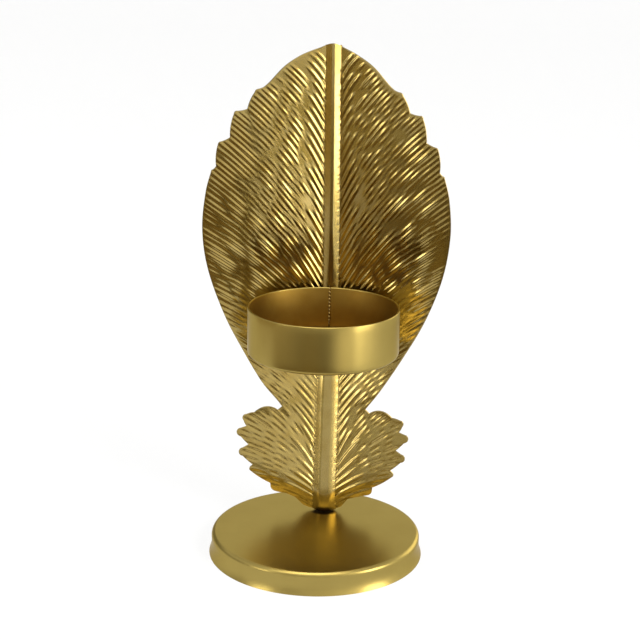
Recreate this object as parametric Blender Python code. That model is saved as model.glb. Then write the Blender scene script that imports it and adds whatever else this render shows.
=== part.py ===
"""Leaf candlestick: a pressed sheet-metal leaf that carries a tealight cup above a round base.

Units are metres. +Z is up, the candlestick faces -Y, and the origin lies under the base's centre.
"""
import math

import bmesh
import bpy
from mathutils import Vector

# Clearance that stands for each welded or seated contact
SEAT = 0.0003

# The leaf and the cup are welded on this far to the right of the base's middle
UPPER_OFFSET = 0.0013

# Base: a dish pressed from sheet, open underneath
BASE_RADIUS = 0.0297
BASE_HEIGHT = 0.0064
BASE_SHEET = 0.0010
BASE_EDGE_ROUND = 0.0013
BASE_FLARE = 0.0007
BASE_FLARE_HEIGHT = 0.0046

# Cup: a rolled band with its bottom edge turned in under a floor disc
CUP_RADIUS = 0.0210
CUP_HEIGHT = 0.0134
CUP_RIM_LEVEL = 0.0726
CUP_SHEET = 0.0009
CUP_EDGE_ROUND = 0.0012
CUP_LIP = 0.0030
FLOOR_SHEET = 0.0008
FLOOR_DISH_RADIUS = 0.0150
FLOOR_DISH_DEPTH = 0.0005
SEAM_SLIT = 0.0005

# Leaf: one sheet, drawn in per cent of its half width and height, then formed in depth
LEAF_HALF_WIDTH = 0.0348
LEAF_HEIGHT = 0.1357
LEAF_SHEET = 0.0008
LEAF_LEAN = math.radians(12.0)
LEAF_BEND_LEVEL = 0.0660
LEAF_NOD = math.radians(5.0)
LEAF_NOD_LEVEL = 0.0760
LEAF_BEND_SOFTNESS = 0.0030
LEAF_CUP_CLEARANCE = 0.0004
FOOT_HALF_WIDTH = 0.0042
FOOT_ROUND = 0.0006
TIP_HALF_WIDTH = 0.0022
TIP_ROUND = 0.0008
MIDRIB_OFFSET = 0.0008
MIDRIB_OFFSET_RUN = 0.0080

# The left half is fuller than the right between the waist and its widest place
LEFT_FULLNESS = 0.0008
LEFT_FULLNESS_RUN_IN = 0.0070
LEFT_FULLNESS_END = 0.0800
LEFT_FULLNESS_RUN_OUT = 0.0280

# Midrib: a raised rib with a flat top that narrows to a crest towards the tip
MIDRIB_FLANK = 0.0019
MIDRIB_FLANK_PITCH = math.radians(29.0)
MIDRIB_TOP_AT_FOOT = 0.0014
MIDRIB_TOP_AT_BEND = 0.0005
MIDRIB_TOP_AT_TIP = 0.00015

# Shares of a row that the midrib may take where the leaf is narrow
MIDRIB_MOST_OF_ROW = 0.75
MIDRIB_TOP_MOST_OF_MIDRIB = 0.50

# Blade and frill: both halves swell forward beside the midrib and fall back at the margin
BLADE_SWELL = 0.0090
BLADE_CREST_OFFSET = 0.0400
FRILL_SWELL = 0.0065
FRILL_CREST_OFFSET = 0.0340
FRILL_TOP_LEVEL = 0.0390
FRILL_BLEND = 0.0050

# Foot: the sheet tucks back under a line that climbs from the midrib along the frill's lower edge
TUCK = math.radians(26.0)
TUCK_LEVEL = 0.0105
TUCK_CLIMB = 0.45
TUCK_SOFTNESS = 0.0010

# Veins: each runs from the midrib to the margin, steep at first and flatter further out
VEIN_DEPTH = 0.00018
VEIN_SPACING = 0.0014
VEIN_BOW = math.radians(12.0)
VEIN_COLUMNS = 5

# Welds
CUP_WELD_OFFSET = 0.0042
CUP_WELD_LENGTH = 0.0085
CUP_WELD_RADIUS = 0.0007
SEAM_WELD_RADIUS = 0.0005
SEAM_WELD_TIP = 0.0009
FOOT_WELD_RADIUS = 0.0008
FOOT_WELD_HALF_LENGTH = 0.0033
WELD_BEAD_PITCH = 0.0011
WELD_RIPPLE = 0.12
WELD_END_SHARE = 0.55

# Facets
BASE_STEPS = 72
CUP_STEPS = 60
ROUND_STEPS = 3
RIM_STEPS = 4
CURVE_STEPS = 24
MERGE_DISTANCE = 0.00001

PER_CENT = 100

# Derived levels
CUP_BOTTOM_LEVEL = CUP_RIM_LEVEL - CUP_HEIGHT
FLOOR_LEVEL = CUP_BOTTOM_LEVEL + CUP_SHEET + SEAT
CUP_BORE_RADIUS = CUP_RADIUS - CUP_SHEET
LEAF_FOOT_LEVEL = BASE_HEIGHT + SEAT
MIDRIB_CONTACT_DEPTH = CUP_RADIUS + LEAF_CUP_CLEARANCE + LEAF_SHEET / 2


def clear_scene():
    """Remove every object of the start-up scene."""
    for obj in list(bpy.data.objects):
        bpy.data.objects.remove(obj, do_unlink=True)


def metal(name, colour, roughness):
    """Return a metallic material of one colour."""
    material = bpy.data.materials.new(name)
    material.use_nodes = True
    shader = material.node_tree.nodes["Principled BSDF"]
    shader.inputs["Base Color"].default_value = (*colour, 1.0)
    shader.inputs["Metallic"].default_value = 1.0
    shader.inputs["Roughness"].default_value = roughness
    return material


def add_object(name, data, material):
    """Link new mesh or curve data to the scene as one named piece."""
    data.materials.append(material)
    obj = bpy.data.objects.new(name, data)
    bpy.context.collection.objects.link(obj)
    return obj


def arc_points(centre, radius, start, end, steps):
    """Return points on an arc in the (r, z) plane, angles in degrees from +r towards +z."""
    angles = [math.radians(start + (end - start) * i / steps) for i in range(steps + 1)]
    return [(centre[0] + radius * math.cos(a), centre[1] + radius * math.sin(a)) for a in angles]


def turn_profile(name, profile, material, steps):
    """Turn a closed (r, z) profile, drawn down its outer side, about the Z axis."""
    mesh = bpy.data.meshes.new(name)
    count = len(profile)
    touches_axis = profile[0][0] == 0.0 and profile[-1][0] == 0.0
    edges = [(i, (i + 1) % count) for i in range(count - 1 if touches_axis else count)]
    mesh.from_pydata([(r, 0.0, z) for r, z in profile], edges, [])
    obj = add_object(name, mesh, material)
    screw = obj.modifiers.new("Turn", "SCREW")
    screw.steps = steps
    screw.render_steps = steps
    screw.use_merge_vertices = True
    screw.merge_threshold = MERGE_DISTANCE
    screw.use_smooth_shade = True
    return obj


def base_wall_points(offset):
    """Return the base's profile from its top edge down its wall, moved inwards by an offset."""
    edge_centre = (BASE_RADIUS - BASE_EDGE_ROUND, BASE_HEIGHT - BASE_EDGE_ROUND)
    rounded = arc_points(edge_centre, BASE_EDGE_ROUND - offset, 90.0, 0.0, ROUND_STEPS)
    flare = []
    for i in range(1, ROUND_STEPS + 1):
        drop = i / ROUND_STEPS
        level = BASE_FLARE_HEIGHT * (1.0 - drop)
        flare.append((BASE_RADIUS - offset + BASE_FLARE * drop ** 2, level))
    return rounded + [(BASE_RADIUS - offset, BASE_FLARE_HEIGHT)] + flare


def make_base(material):
    """Make the pressed base: flat top, rounded edge and a wall that flares at the bottom."""
    outer = base_wall_points(0.0)
    inner = base_wall_points(BASE_SHEET)
    profile = [(0.0, BASE_HEIGHT)] + outer + inner[::-1] + [(0.0, BASE_HEIGHT - BASE_SHEET)]
    return turn_profile("base_dish", profile, material, BASE_STEPS)


def make_cup_band(material):
    """Make the rolled band, its turned-in bottom edge and the open butt seam at the back."""
    edge_centre = (CUP_RADIUS - CUP_EDGE_ROUND, CUP_BOTTOM_LEVEL + CUP_EDGE_ROUND)
    outer_turn = arc_points(edge_centre, CUP_EDGE_ROUND, 0.0, -90.0, ROUND_STEPS)
    inner_turn = arc_points(edge_centre, CUP_EDGE_ROUND - CUP_SHEET, -90.0, 0.0, ROUND_STEPS)
    lip_radius = CUP_RADIUS - CUP_EDGE_ROUND - CUP_LIP
    lip_end = [(lip_radius, CUP_BOTTOM_LEVEL), (lip_radius, CUP_BOTTOM_LEVEL + CUP_SHEET)]
    rim_round = CUP_SHEET / 2
    rim = arc_points((CUP_RADIUS - rim_round, CUP_RIM_LEVEL - rim_round), rim_round, 180.0, 0.0, RIM_STEPS)
    band = turn_profile("cup_band", rim + outer_turn + lip_end + inner_turn, material, CUP_STEPS)

    slit = bpy.data.meshes.new("seam_slit")
    box = bmesh.new()
    bmesh.ops.create_cube(box, size=1.0)
    bmesh.ops.scale(box, vec=(SEAM_SLIT, 2 * CUP_EDGE_ROUND + 2 * CUP_LIP, 2 * CUP_HEIGHT), verts=box.verts)
    bmesh.ops.translate(box, vec=(0.0, CUP_RADIUS - CUP_LIP, CUP_RIM_LEVEL - CUP_HEIGHT / 2), verts=box.verts)
    box.to_mesh(slit)
    box.free()
    cutter = bpy.data.objects.new("seam_slit", slit)
    bpy.context.collection.objects.link(cutter)
    cutter.parent = band
    cutter.hide_render = True
    cutter.display_type = "WIRE"
    cut = band.modifiers.new("Seam", "BOOLEAN")
    cut.operation = "DIFFERENCE"
    cut.object = cutter
    return band


def make_cup_floor(material):
    """Make the floor disc, dished a little below the ring that lies on the turned-in edge."""
    edge = CUP_BORE_RADIUS - SEAT
    top = FLOOR_LEVEL + FLOOR_SHEET
    slope_end = FLOOR_DISH_RADIUS + 2 * FLOOR_DISH_DEPTH
    profile = [
        (0.0, top - FLOOR_DISH_DEPTH),
        (FLOOR_DISH_RADIUS, top - FLOOR_DISH_DEPTH),
        (slope_end, top),
        (edge, top),
        (edge, FLOOR_LEVEL),
        (slope_end, FLOOR_LEVEL),
        (FLOOR_DISH_RADIUS, FLOOR_LEVEL - FLOOR_DISH_DEPTH),
        (0.0, FLOOR_LEVEL - FLOOR_DISH_DEPTH),
    ]
    return turn_profile("cup_floor", profile, material, CUP_STEPS)


def soft_ramp(value, softness):
    """Return a ramp that is 0 below 0, the value above 0 and rounded between."""
    return max(value, 0.0) + softness * math.log1p(math.exp(-abs(value) / softness))


def blend(value, start, end):
    """Return a smooth step from 0 at start to 1 at end."""
    t = min(max((value - start) / (end - start), 0.0), 1.0)
    return t * t * (3.0 - 2.0 * t)


def midrib_top(z):
    """Return half the width of the midrib's flat top at a level."""
    lower = blend(z, FRILL_TOP_LEVEL, LEAF_BEND_LEVEL)
    top = MIDRIB_TOP_AT_FOOT + (MIDRIB_TOP_AT_BEND - MIDRIB_TOP_AT_FOOT) * lower
    tip_level = LEAF_FOOT_LEVEL + LEAF_HEIGHT
    upper = max(z - LEAF_BEND_LEVEL, 0.0) / (tip_level - LEAF_BEND_LEVEL)
    return top + (MIDRIB_TOP_AT_TIP - MIDRIB_TOP_AT_BEND) * upper


def swell(u, z):
    """Return how far a half of the leaf comes forward at a distance from the midrib and a level."""
    blade = BLADE_SWELL * math.sin(math.pi / 2 * u / BLADE_CREST_OFFSET)
    frill = FRILL_SWELL * math.sin(math.pi / 2 * u / FRILL_CREST_OFFSET)
    return frill + (blade - frill) * blend(z, FRILL_TOP_LEVEL - FRILL_BLEND, FRILL_TOP_LEVEL + FRILL_BLEND)


def rise(u, z):
    """Return how far the midrib and the two halves come forward together."""
    top = midrib_top(z)
    foot = top + MIDRIB_FLANK
    if u >= foot:
        return swell(u, z)
    return swell(foot, z) + (foot - max(u, top)) * math.tan(MIDRIB_FLANK_PITCH)


def leaf_plane(z):
    """Return the depth of the leaf's plane: it leans back up to the cup, then nods forward."""
    contact = soft_ramp(LEAF_BEND_LEVEL - CUP_BOTTOM_LEVEL, LEAF_BEND_SOFTNESS)
    lean = contact - soft_ramp(LEAF_BEND_LEVEL - z, LEAF_BEND_SOFTNESS)
    nod = soft_ramp(z - LEAF_NOD_LEVEL, LEAF_BEND_SOFTNESS)
    plane = MIDRIB_CONTACT_DEPTH + rise(0.0, CUP_BOTTOM_LEVEL)
    return plane + lean * math.tan(LEAF_LEAN) - nod * math.tan(LEAF_NOD)


def leaf_depth(u, z):
    """Return the depth of the sheet's middle at a distance from the midrib and a level."""
    tuck = soft_ramp(TUCK_LEVEL + TUCK_CLIMB * u - z, TUCK_SOFTNESS)
    return leaf_plane(z) - rise(u, z) + tuck * math.tan(TUCK)


def sheet_point(u_share, v_share):
    """Turn per cent of the half width and of the height into a place on the drawing."""
    return (LEAF_HALF_WIDTH * u_share / PER_CENT, LEAF_FOOT_LEVEL + LEAF_HEIGHT * v_share / PER_CENT)


def bulged_run(start, end, bulge, count):
    """Return count points after start on the arc to end; bulge is its rise over half its chord."""
    half_chord = (Vector(end) - Vector(start)) / 2
    middle = Vector(start) + half_chord
    side = Vector((half_chord.y, -half_chord.x))
    half_turn = 2.0 * math.atan(bulge)
    points = []
    for i in range(1, count + 1):
        share = 2.0 * i / count - 1.0
        along = share
        out = 0.0
        if bulge != 0.0:
            along = math.sin(half_turn * share) / math.sin(half_turn)
            out = (math.cos(half_turn * share) - math.cos(half_turn)) / math.sin(half_turn)
        point = middle + half_chord * along + side * out
        points.append((point.x, point.y))
    return points


def smooth_run(knots, count):
    """Return count points after the first knot, evenly spaced on a smooth curve through the knots."""
    ends = [2 * Vector(knots[0]) - Vector(knots[1]), 2 * Vector(knots[-1]) - Vector(knots[-2])]
    held = [ends[0]] + [Vector(k) for k in knots] + [ends[1]]
    fine = []
    for a, b, c, d in zip(held, held[1:], held[2:], held[3:]):
        for i in range(CURVE_STEPS):
            t = i / CURVE_STEPS
            fine.append(0.5 * (2 * b + (c - a) * t + (2 * a - 5 * b + 4 * c - d) * t ** 2
                               + (3 * b - a - 3 * c + d) * t ** 3))
    fine.append(Vector(knots[-1]))
    lengths = [0.0]
    for a, b in zip(fine, fine[1:]):
        lengths.append(lengths[-1] + (b - a).length)
    points = []
    for i in range(1, count + 1):
        wanted = lengths[-1] * (i / count)
        k = next(n for n, length in enumerate(lengths) if length >= wanted)
        share = (wanted - lengths[k - 1]) / (lengths[k] - lengths[k - 1])
        point = fine[k - 1].lerp(fine[k], share)
        points.append((point.x, point.y))
    return points


# Margin of the frill from the foot to the waist: u and v in per cent, bulge, veins that end there
FRILL_MARGIN = [
    (16.2, 1.0, 0.00, 1), (22.5, 3.0, 0.00, 1), (31.0, 4.1, 0.00, 1),
    (39.3, 4.4, 0.10, 1), (42.9, 5.5, 0.30, 1), (43.1, 6.4, 0.00, 1),
    (59.2, 9.2, 0.06, 3), (59.8, 10.1, 0.60, 1), (57.8, 10.6, 0.00, 1),
    (66.4, 12.5, 0.04, 2), (66.6, 14.2, 0.95, 2), (61.8, 14.9, 0.00, 1),
    (68.7, 16.7, 0.04, 2), (68.7, 18.4, 0.95, 2), (63.9, 18.8, 0.00, 1),
    (66.5, 20.0, 0.10, 1), (64.3, 21.3, 0.70, 2), (57.5, 21.7, 0.10, 1),
    (54.6, 22.3, 0.10, 1), (38.4, 22.1, 0.35, 5), (35.0, 22.8, 0.00, 1),
]
# Margin of the blade from the waist to the lowest tooth's point, as a smooth curve
BLADE_MARGIN = [
    (46.5, 27.0), (63.0, 33.8), (81.5, 42.4), (94.8, 52.0), (100.0, 61.3), (98.0, 69.1), (93.4, 73.9),
]
BLADE_VEINS = 44
# Teeth from the lowest point to the shoulder, each with its notch, its outer edge and its point
TEETH_MARGIN = [
    (89.6, 74.8, -0.20, 2), (87.9, 79.3, 0.10, 5), (86.1, 79.9, 0.30, 1),
    (78.3, 80.8, -0.10, 3), (75.1, 85.6, 0.10, 6), (73.4, 86.3, 0.30, 1),
    (64.5, 86.7, -0.10, 3), (58.7, 90.1, 0.10, 5), (56.1, 90.8, 0.30, 1),
    (51.4, 91.2, -0.10, 3),
]
SHOULDER_MARGIN = [(47.1, 92.2), (35.0, 95.5), (21.4, 97.8)]
SHOULDER_VEINS = 22

# Where on the midrib the veins of each stretch begin and end, in per cent of the height
FRILL_ROOTS = (0.0, 11.2)
BLADE_ROOTS = (11.2, 44.6)
TEETH_ROOTS = (44.6, 74.0)
SHOULDER_ROOTS = (74.0, 100.0)


def station_run(start, stations):
    """Return the points along straight and bulged edges between stations."""
    points = []
    for u_share, v_share, bulge, count in stations:
        end = sheet_point(u_share, v_share)
        points += bulged_run(start, end, bulge, count)
        start = end
    return points


def spread_roots(shares, count):
    """Return the levels on the midrib from which a stretch's veins start."""
    first, last = (LEAF_FOOT_LEVEL + LEAF_HEIGHT * share / PER_CENT for share in shares)
    return [first + (last - first) * i / count for i in range(1, count + 1)]


def vein_table():
    """Pair each vein's root level on the midrib with its end on the margin."""
    foot_end = (FOOT_HALF_WIDTH, LEAF_FOOT_LEVEL + FOOT_ROUND)
    tip_level = LEAF_FOOT_LEVEL + LEAF_HEIGHT
    frill = station_run(foot_end, FRILL_MARGIN)
    blade = smooth_run([frill[-1]] + [sheet_point(*p) for p in BLADE_MARGIN], BLADE_VEINS)
    teeth = station_run(blade[-1], TEETH_MARGIN)
    tip_end = (TIP_HALF_WIDTH, tip_level - TIP_ROUND)
    shoulder_knots = [teeth[-1]] + [sheet_point(*p) for p in SHOULDER_MARGIN] + [tip_end]
    shoulder = smooth_run(shoulder_knots, SHOULDER_VEINS)
    roots = [LEAF_FOOT_LEVEL]
    ends = [foot_end]
    for stretch, shares in ((frill, FRILL_ROOTS), (blade, BLADE_ROOTS), (teeth, TEETH_ROOTS),
                            (shoulder, SHOULDER_ROOTS)):
        roots += spread_roots(shares, len(stretch))
        ends += stretch
    return list(zip(roots, ends))


def vein_reach(end, side):
    """Return how far from the midrib's middle a row of the left (-1) or right (1) half ends."""
    reach = end[0] - side * MIDRIB_OFFSET * min(1.0, end[0] / MIDRIB_OFFSET_RUN)
    if side > 0.0:
        return reach
    run_in = blend(end[1], FRILL_TOP_LEVEL, FRILL_TOP_LEVEL + LEFT_FULLNESS_RUN_IN)
    run_out = blend(end[1], LEFT_FULLNESS_END, LEFT_FULLNESS_END + LEFT_FULLNESS_RUN_OUT)
    return reach + LEFT_FULLNESS * run_in * (1.0 - run_out)


def vein_points(root, end, edge_round, side):
    """Return one row of a half, from the midrib's middle to the margin, as (u, z)."""
    reach = vein_reach(end, side)
    top = midrib_top(root)
    foot = min(top + MIDRIB_FLANK, reach * MIDRIB_MOST_OF_ROW)
    top = min(top, foot * MIDRIB_TOP_MOST_OF_MIDRIB)
    row = [(u, root + edge_round * (u / reach) ** 2) for u in (0.0, top, foot)]
    start = Vector(row[-1])
    finish = Vector((reach, end[1]))
    chord = finish - start
    across = Vector((-chord.y, chord.x))
    middle = start + chord / 2 + across * (math.tan(VEIN_BOW) / 2 if edge_round == 0.0 else 0.0)
    for i in range(1, VEIN_COLUMNS + 1):
        t = i / VEIN_COLUMNS
        point = start * (1 - t) ** 2 + middle * 2 * t * (1 - t) + finish * t ** 2
        row.append((point.x, point.y))
    return row


def pressed_depth(index, column, row, neighbour):
    """Return how far a point on a vein is pressed, less where the veins crowd together."""
    place = min(max((column - 2) / VEIN_COLUMNS, 0.0), 1.0)
    spacing = (Vector(row[column]) - Vector(neighbour[column])).length
    press = VEIN_DEPTH * min(1.0, spacing / VEIN_SPACING) * math.sin(math.pi * place)
    return press if index % 2 else -press


def make_leaf(material):
    """Make the leaf as one sheet of rows along its veins, with every second row pressed back."""
    table = vein_table()
    last = len(table) - 1
    edge_rounds = {0: FOOT_ROUND, last: -TIP_ROUND}
    halves = {}
    for side in (-1.0, 1.0):
        halves[side] = [vein_points(root, end, edge_rounds.get(i, 0.0), side)
                        for i, (root, end) in enumerate(table)]
    mesh = bmesh.new()
    rows = []
    for index in range(len(table)):
        places = []
        for side in (-1.0, 1.0):
            row = halves[side][index]
            neighbour = halves[side][min(index + 1, last)]
            points = []
            for column, (u, z) in enumerate(row):
                y = leaf_depth(u, z)
                if 0 < index < last:
                    y += pressed_depth(index, column, row, neighbour)
                points.append((side * u, y, z))
            places += points[:0:-1] if side < 0.0 else points
        rows.append([mesh.verts.new(place) for place in places])
    for lower, upper in zip(rows, rows[1:]):
        for a, b, c, d in zip(lower, lower[1:], upper[1:], upper):
            mesh.faces.new((a, b, c, d))
    data = bpy.data.meshes.new("leaf_panel")
    mesh.to_mesh(data)
    mesh.free()
    leaf = add_object("leaf_panel", data, material)
    leaf.data.shade_smooth()
    sheet = leaf.modifiers.new("Sheet", "SOLIDIFY")
    sheet.thickness = LEAF_SHEET
    sheet.offset = 0.0
    return leaf


def make_bead(name, points, radius, material):
    """Make a rippled weld bead along points, tapered at both ends."""
    curve = bpy.data.curves.new(name, "CURVE")
    curve.dimensions = "3D"
    curve.bevel_depth = radius
    curve.bevel_resolution = 1
    curve.use_fill_caps = True
    spline = curve.splines.new("POLY")
    spline.points.add(len(points) - 1)
    last = len(points) - 1
    for i, (place, width) in enumerate(points):
        end_share = WELD_END_SHARE if i in (0, last) else 1.0
        ripple = 1.0 - WELD_RIPPLE * (i % 2)
        spline.points[i].co = (*place, 1.0)
        spline.points[i].radius = width * end_share * ripple
    return add_object(name, curve, material)


def bead_levels(first, last):
    """Return levels from first to last, two to each ripple of a weld."""
    count = max(2, round((last - first) / WELD_BEAD_PITCH) * 2)
    return [first + (last - first) * i / count for i in range(count + 1)]


def make_cup_welds(material):
    """Make the two beads in the corners between the cup's back and the midrib's flanks."""
    top = CUP_RIM_LEVEL - 2 * CUP_WELD_RADIUS
    cup_back = math.sqrt(CUP_RADIUS ** 2 - CUP_WELD_OFFSET ** 2)
    beads = []
    for name, side in (("cup_weld_left", -1.0), ("cup_weld_right", 1.0)):
        points = []
        for z in bead_levels(top - CUP_WELD_LENGTH, top):
            leaf_front = leaf_depth(CUP_WELD_OFFSET, z) - LEAF_SHEET / 2
            room = leaf_front - cup_back
            width = min(1.0, (room / 2 - SEAT) / CUP_WELD_RADIUS)
            depth = min(cup_back + SEAT + CUP_WELD_RADIUS, (cup_back + leaf_front) / 2)
            points.append(((side * CUP_WELD_OFFSET, depth, z), width))
        beads.append(make_bead(name, points, CUP_WELD_RADIUS, material))
    return beads


def make_seam_weld(material):
    """Make the bead inside the butt seam, with a small tip that stands over the rim."""
    depth = CUP_BORE_RADIUS - SEAT - SEAM_WELD_RADIUS
    first = FLOOR_LEVEL + FLOOR_SHEET + SEAT
    points = [((0.0, depth, z), 1.0) for z in bead_levels(first, CUP_RIM_LEVEL + SEAM_WELD_TIP)]
    return make_bead("cup_seam_weld", points, SEAM_WELD_RADIUS, material)


def make_foot_weld(material):
    """Make the bead behind the leaf's foot that joins it to the base."""
    level = BASE_HEIGHT + SEAT + FOOT_WELD_RADIUS
    midrib_foot = midrib_top(level) + MIDRIB_FLANK
    back = leaf_depth(midrib_foot, level - FOOT_WELD_RADIUS) + LEAF_SHEET / 2
    points = []
    for x in bead_levels(-FOOT_WELD_HALF_LENGTH, FOOT_WELD_HALF_LENGTH):
        points.append(((x, back + SEAT + FOOT_WELD_RADIUS, level), 1.0))
    return make_bead("foot_weld", points, FOOT_WELD_RADIUS, material)


def main():
    """Build the candlestick."""
    clear_scene()
    satin_gold = metal("satin_gold", (0.47, 0.33, 0.09), 0.34)
    leaf_gold = metal("leaf_gold", (0.50, 0.34, 0.08), 0.27)
    weld_gold = metal("weld_gold", (0.42, 0.29, 0.08), 0.40)
    make_base(satin_gold)
    upper = [
        make_leaf(leaf_gold),
        make_foot_weld(weld_gold),
        make_cup_band(satin_gold),
        make_cup_floor(satin_gold),
        make_seam_weld(weld_gold),
    ]
    for piece in upper + make_cup_welds(weld_gold):
        piece.location.x = UPPER_OFFSET


if __name__ == "__main__":
    main()
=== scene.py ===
"""Looks of a leaf candlestick: a pressed brass leaf that carries a tealight cup above a round base.

Units are metres. +Z is up, the candlestick faces -Y, and the origin lies under the base's centre.
The sizes are the same as in the part's source, so each finished piece lies where its solid is.
"""
import enum
import logging
import math
import random
from dataclasses import dataclass, field
from functools import partial

import bmesh
import bpy
import numpy as np
from bpy.types import Material, Mesh, Node, NodeSocket, NodeTree, Object
from mathutils import Matrix, Vector, noise


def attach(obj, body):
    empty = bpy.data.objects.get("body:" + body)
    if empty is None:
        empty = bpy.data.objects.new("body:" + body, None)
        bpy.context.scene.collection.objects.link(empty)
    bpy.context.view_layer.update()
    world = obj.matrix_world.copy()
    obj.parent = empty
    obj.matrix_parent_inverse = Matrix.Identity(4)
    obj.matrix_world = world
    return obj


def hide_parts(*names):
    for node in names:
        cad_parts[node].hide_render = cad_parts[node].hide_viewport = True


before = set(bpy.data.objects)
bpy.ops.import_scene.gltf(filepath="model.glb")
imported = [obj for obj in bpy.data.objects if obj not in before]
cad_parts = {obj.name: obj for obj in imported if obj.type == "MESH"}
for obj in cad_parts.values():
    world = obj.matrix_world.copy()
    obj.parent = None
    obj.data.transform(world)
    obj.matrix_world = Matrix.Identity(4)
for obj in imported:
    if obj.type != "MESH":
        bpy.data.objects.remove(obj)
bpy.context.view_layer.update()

LOG = logging.getLogger("candlestick")
MM = 0.001
PER_CENT = 0.01
SEAT = 0.3 * MM
# The leaf and the cup are welded on this far to the right of the base's middle
UPPER_OFFSET = 1.3 * MM
# A turned piece keeps a crease where its faces meet at more than this
CREASE = math.radians(50.0)

Pair = tuple[float, float]
Triple = tuple[float, float, float]
# A stroke's points on the flat drawing, and the half width and the height at each
Stroke = tuple[list, list, list]
Sockets = bpy.types.bpy_prop_collection


class Slot(enum.Enum):
    """The record's material slots."""

    BASE = "base_gold"
    LEAF = "leaf_gold"
    CUP = "cup_gold"
    WELD = "weld_gold"


class Side(enum.Enum):
    """The two halves of the leaf, by the sign of x."""

    LEFT = -1.0
    RIGHT = 1.0


def linear(colour: str) -> tuple[float, float, float, float]:
    """Turn an sRGB hex colour into linear red, green, blue and alpha.

    Args:
        colour: The colour as "#rrggbb".

    Returns:
        Four linear values, the last of them 1.
    """
    parts = [int(colour[i:i + 2], 16) / 255.0 for i in (1, 3, 5)]
    red, green, blue = (p / 12.92 if p <= 0.04045 else ((p + 0.055) / 1.055) ** 2.4 for p in parts)
    return (red, green, blue, 1.0)


def add_node(tree: NodeTree, kind: str, settings: dict | None = None, inputs: dict | tuple = ()) -> Node:
    """Add a node with its settings, values and links.

    Args:
        tree: The tree that gets the node.
        kind: The node's type name.
        settings: Values for the node's own properties.
        inputs: What each input gets, by its name or number, or in the inputs' order: a value, the
            socket to link from, or a node whose first output is linked.

    Returns:
        The new node.
    """
    node = tree.nodes.new(kind)
    for name, value in (settings or {}).items():
        setattr(node, name, value)
    for key, value in (inputs if isinstance(inputs, dict) else dict(enumerate(inputs))).items():
        source = value.outputs[0] if isinstance(value, Node) else value
        if isinstance(source, NodeSocket):
            tree.links.new(source, node.inputs[key])
        else:
            node.inputs[key].default_value = source
    return node


def new_tree(name: str, inputs: dict[str, str]) -> tuple[NodeTree, Sockets, dict[str, str]]:
    """Start a Geometry Nodes tree with named inputs.

    Args:
        name: The tree's name.
        inputs: The socket type of each input after the geometry, by name.

    Returns:
        The tree, its inputs' sockets and each input's identifier by name.
    """
    tree = bpy.data.node_groups.new(name, "GeometryNodeTree")
    for way in ("INPUT", "OUTPUT"):
        tree.interface.new_socket("Geometry", in_out=way, socket_type="NodeSocketGeometry")
    identifiers = {label: tree.interface.new_socket(label, in_out="INPUT", socket_type=kind).identifier
                   for label, kind in inputs.items()}
    return tree, add_node(tree, "NodeGroupInput").outputs, identifiers


def end_tree(tree: NodeTree, geometry: Node, material: NodeSocket) -> None:
    """Close a Geometry Nodes tree with real geometry and its material.

    Args:
        tree: The tree to close.
        geometry: The node that gives the finished geometry.
        material: The tree's material input.
    """
    realized = add_node(tree, "GeometryNodeRealizeInstances", None, {"Geometry": geometry})
    dressed = add_node(tree, "GeometryNodeSetMaterial", None, {"Geometry": realized, "Material": material})
    add_node(tree, "NodeGroupOutput", None, (dressed,))


def settle(obj: Object, tree: NodeTree, values: dict[str, object]) -> None:
    """Run a Geometry Nodes tree on a mesh object and keep its result as the object's plain mesh.

    Args:
        obj: The mesh object.
        tree: The tree to run.
        values: The tree's input values by socket identifier.
    """
    modifier = obj.modifiers.new(tree.name, "NODES")
    modifier.node_group = tree
    for identifier, value in values.items():
        modifier[identifier] = value
    bpy.context.view_layer.update()
    depsgraph = bpy.context.evaluated_depsgraph_get()
    mesh = bpy.data.meshes.new_from_object(obj.evaluated_get(depsgraph), preserve_all_data_layers=True,
                                           depsgraph=depsgraph)
    obj.modifiers.remove(modifier)
    obj.data = mesh


def link_object(name: str, data: bpy.types.ID, material: Material | None = None) -> Object:
    """Link new data to the scene as one object.

    Args:
        name: The object's name.
        data: Its mesh, lamp or camera.
        material: Its material, if it takes one.

    Returns:
        The new object.
    """
    if material is not None:
        data.materials.append(material)
    obj = bpy.data.objects.new(name, data)
    bpy.context.scene.collection.objects.link(obj)
    return obj


def hand_over(obj: Object, slot: Slot, *nodes: str) -> Object:
    """Fix a finished piece to the frame in place of its CAD nodes, and report it.

    Args:
        obj: The finished piece.
        slot: The record's slot for its finish; not used.
        *nodes: The CAD nodes that it stands for.

    Returns:
        The same piece.
    """
    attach(obj, "root")
    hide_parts(*nodes)
    LOG.info("%s: %d faces, for %s", obj.name, len(obj.data.polygons), ", ".join(nodes))
    return obj


# Painted shade: the dark gap where the leaf's foot meets the base, painted as a dark patch on the foot and
# the base top: its middle, its reach and its fade
FOOT_SHADE_PLACE = (1.3 * MM, 12.3 * MM, 6.3 * MM)
FOOT_SHADE_REACH = (4.4 * MM, 2.5 * MM, 0.8 * MM)
FOOT_SHADE_FADE = {"From Min": 1.0, "From Max": 0.6}
FOOT_SHADE_COLOUR = "#1c1006"
# Brass stays yellow where it is seen at a grazing angle
EDGE_TINT = "#ded4bc"
# How the clouds of a stain and the grain are made up, and how much of the sheet a stain takes
STAIN_NOISE = {"Detail": 4.0, "Roughness": 0.6}
STAIN_SHARE = {"From Min": 0.40, "From Max": 0.68}
GRAIN_NOISE = {"Detail": 3.0, "Roughness": 0.65}
# How much smoother a crest is than the flat beside it
CREST_POLISH = 0.05


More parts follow.
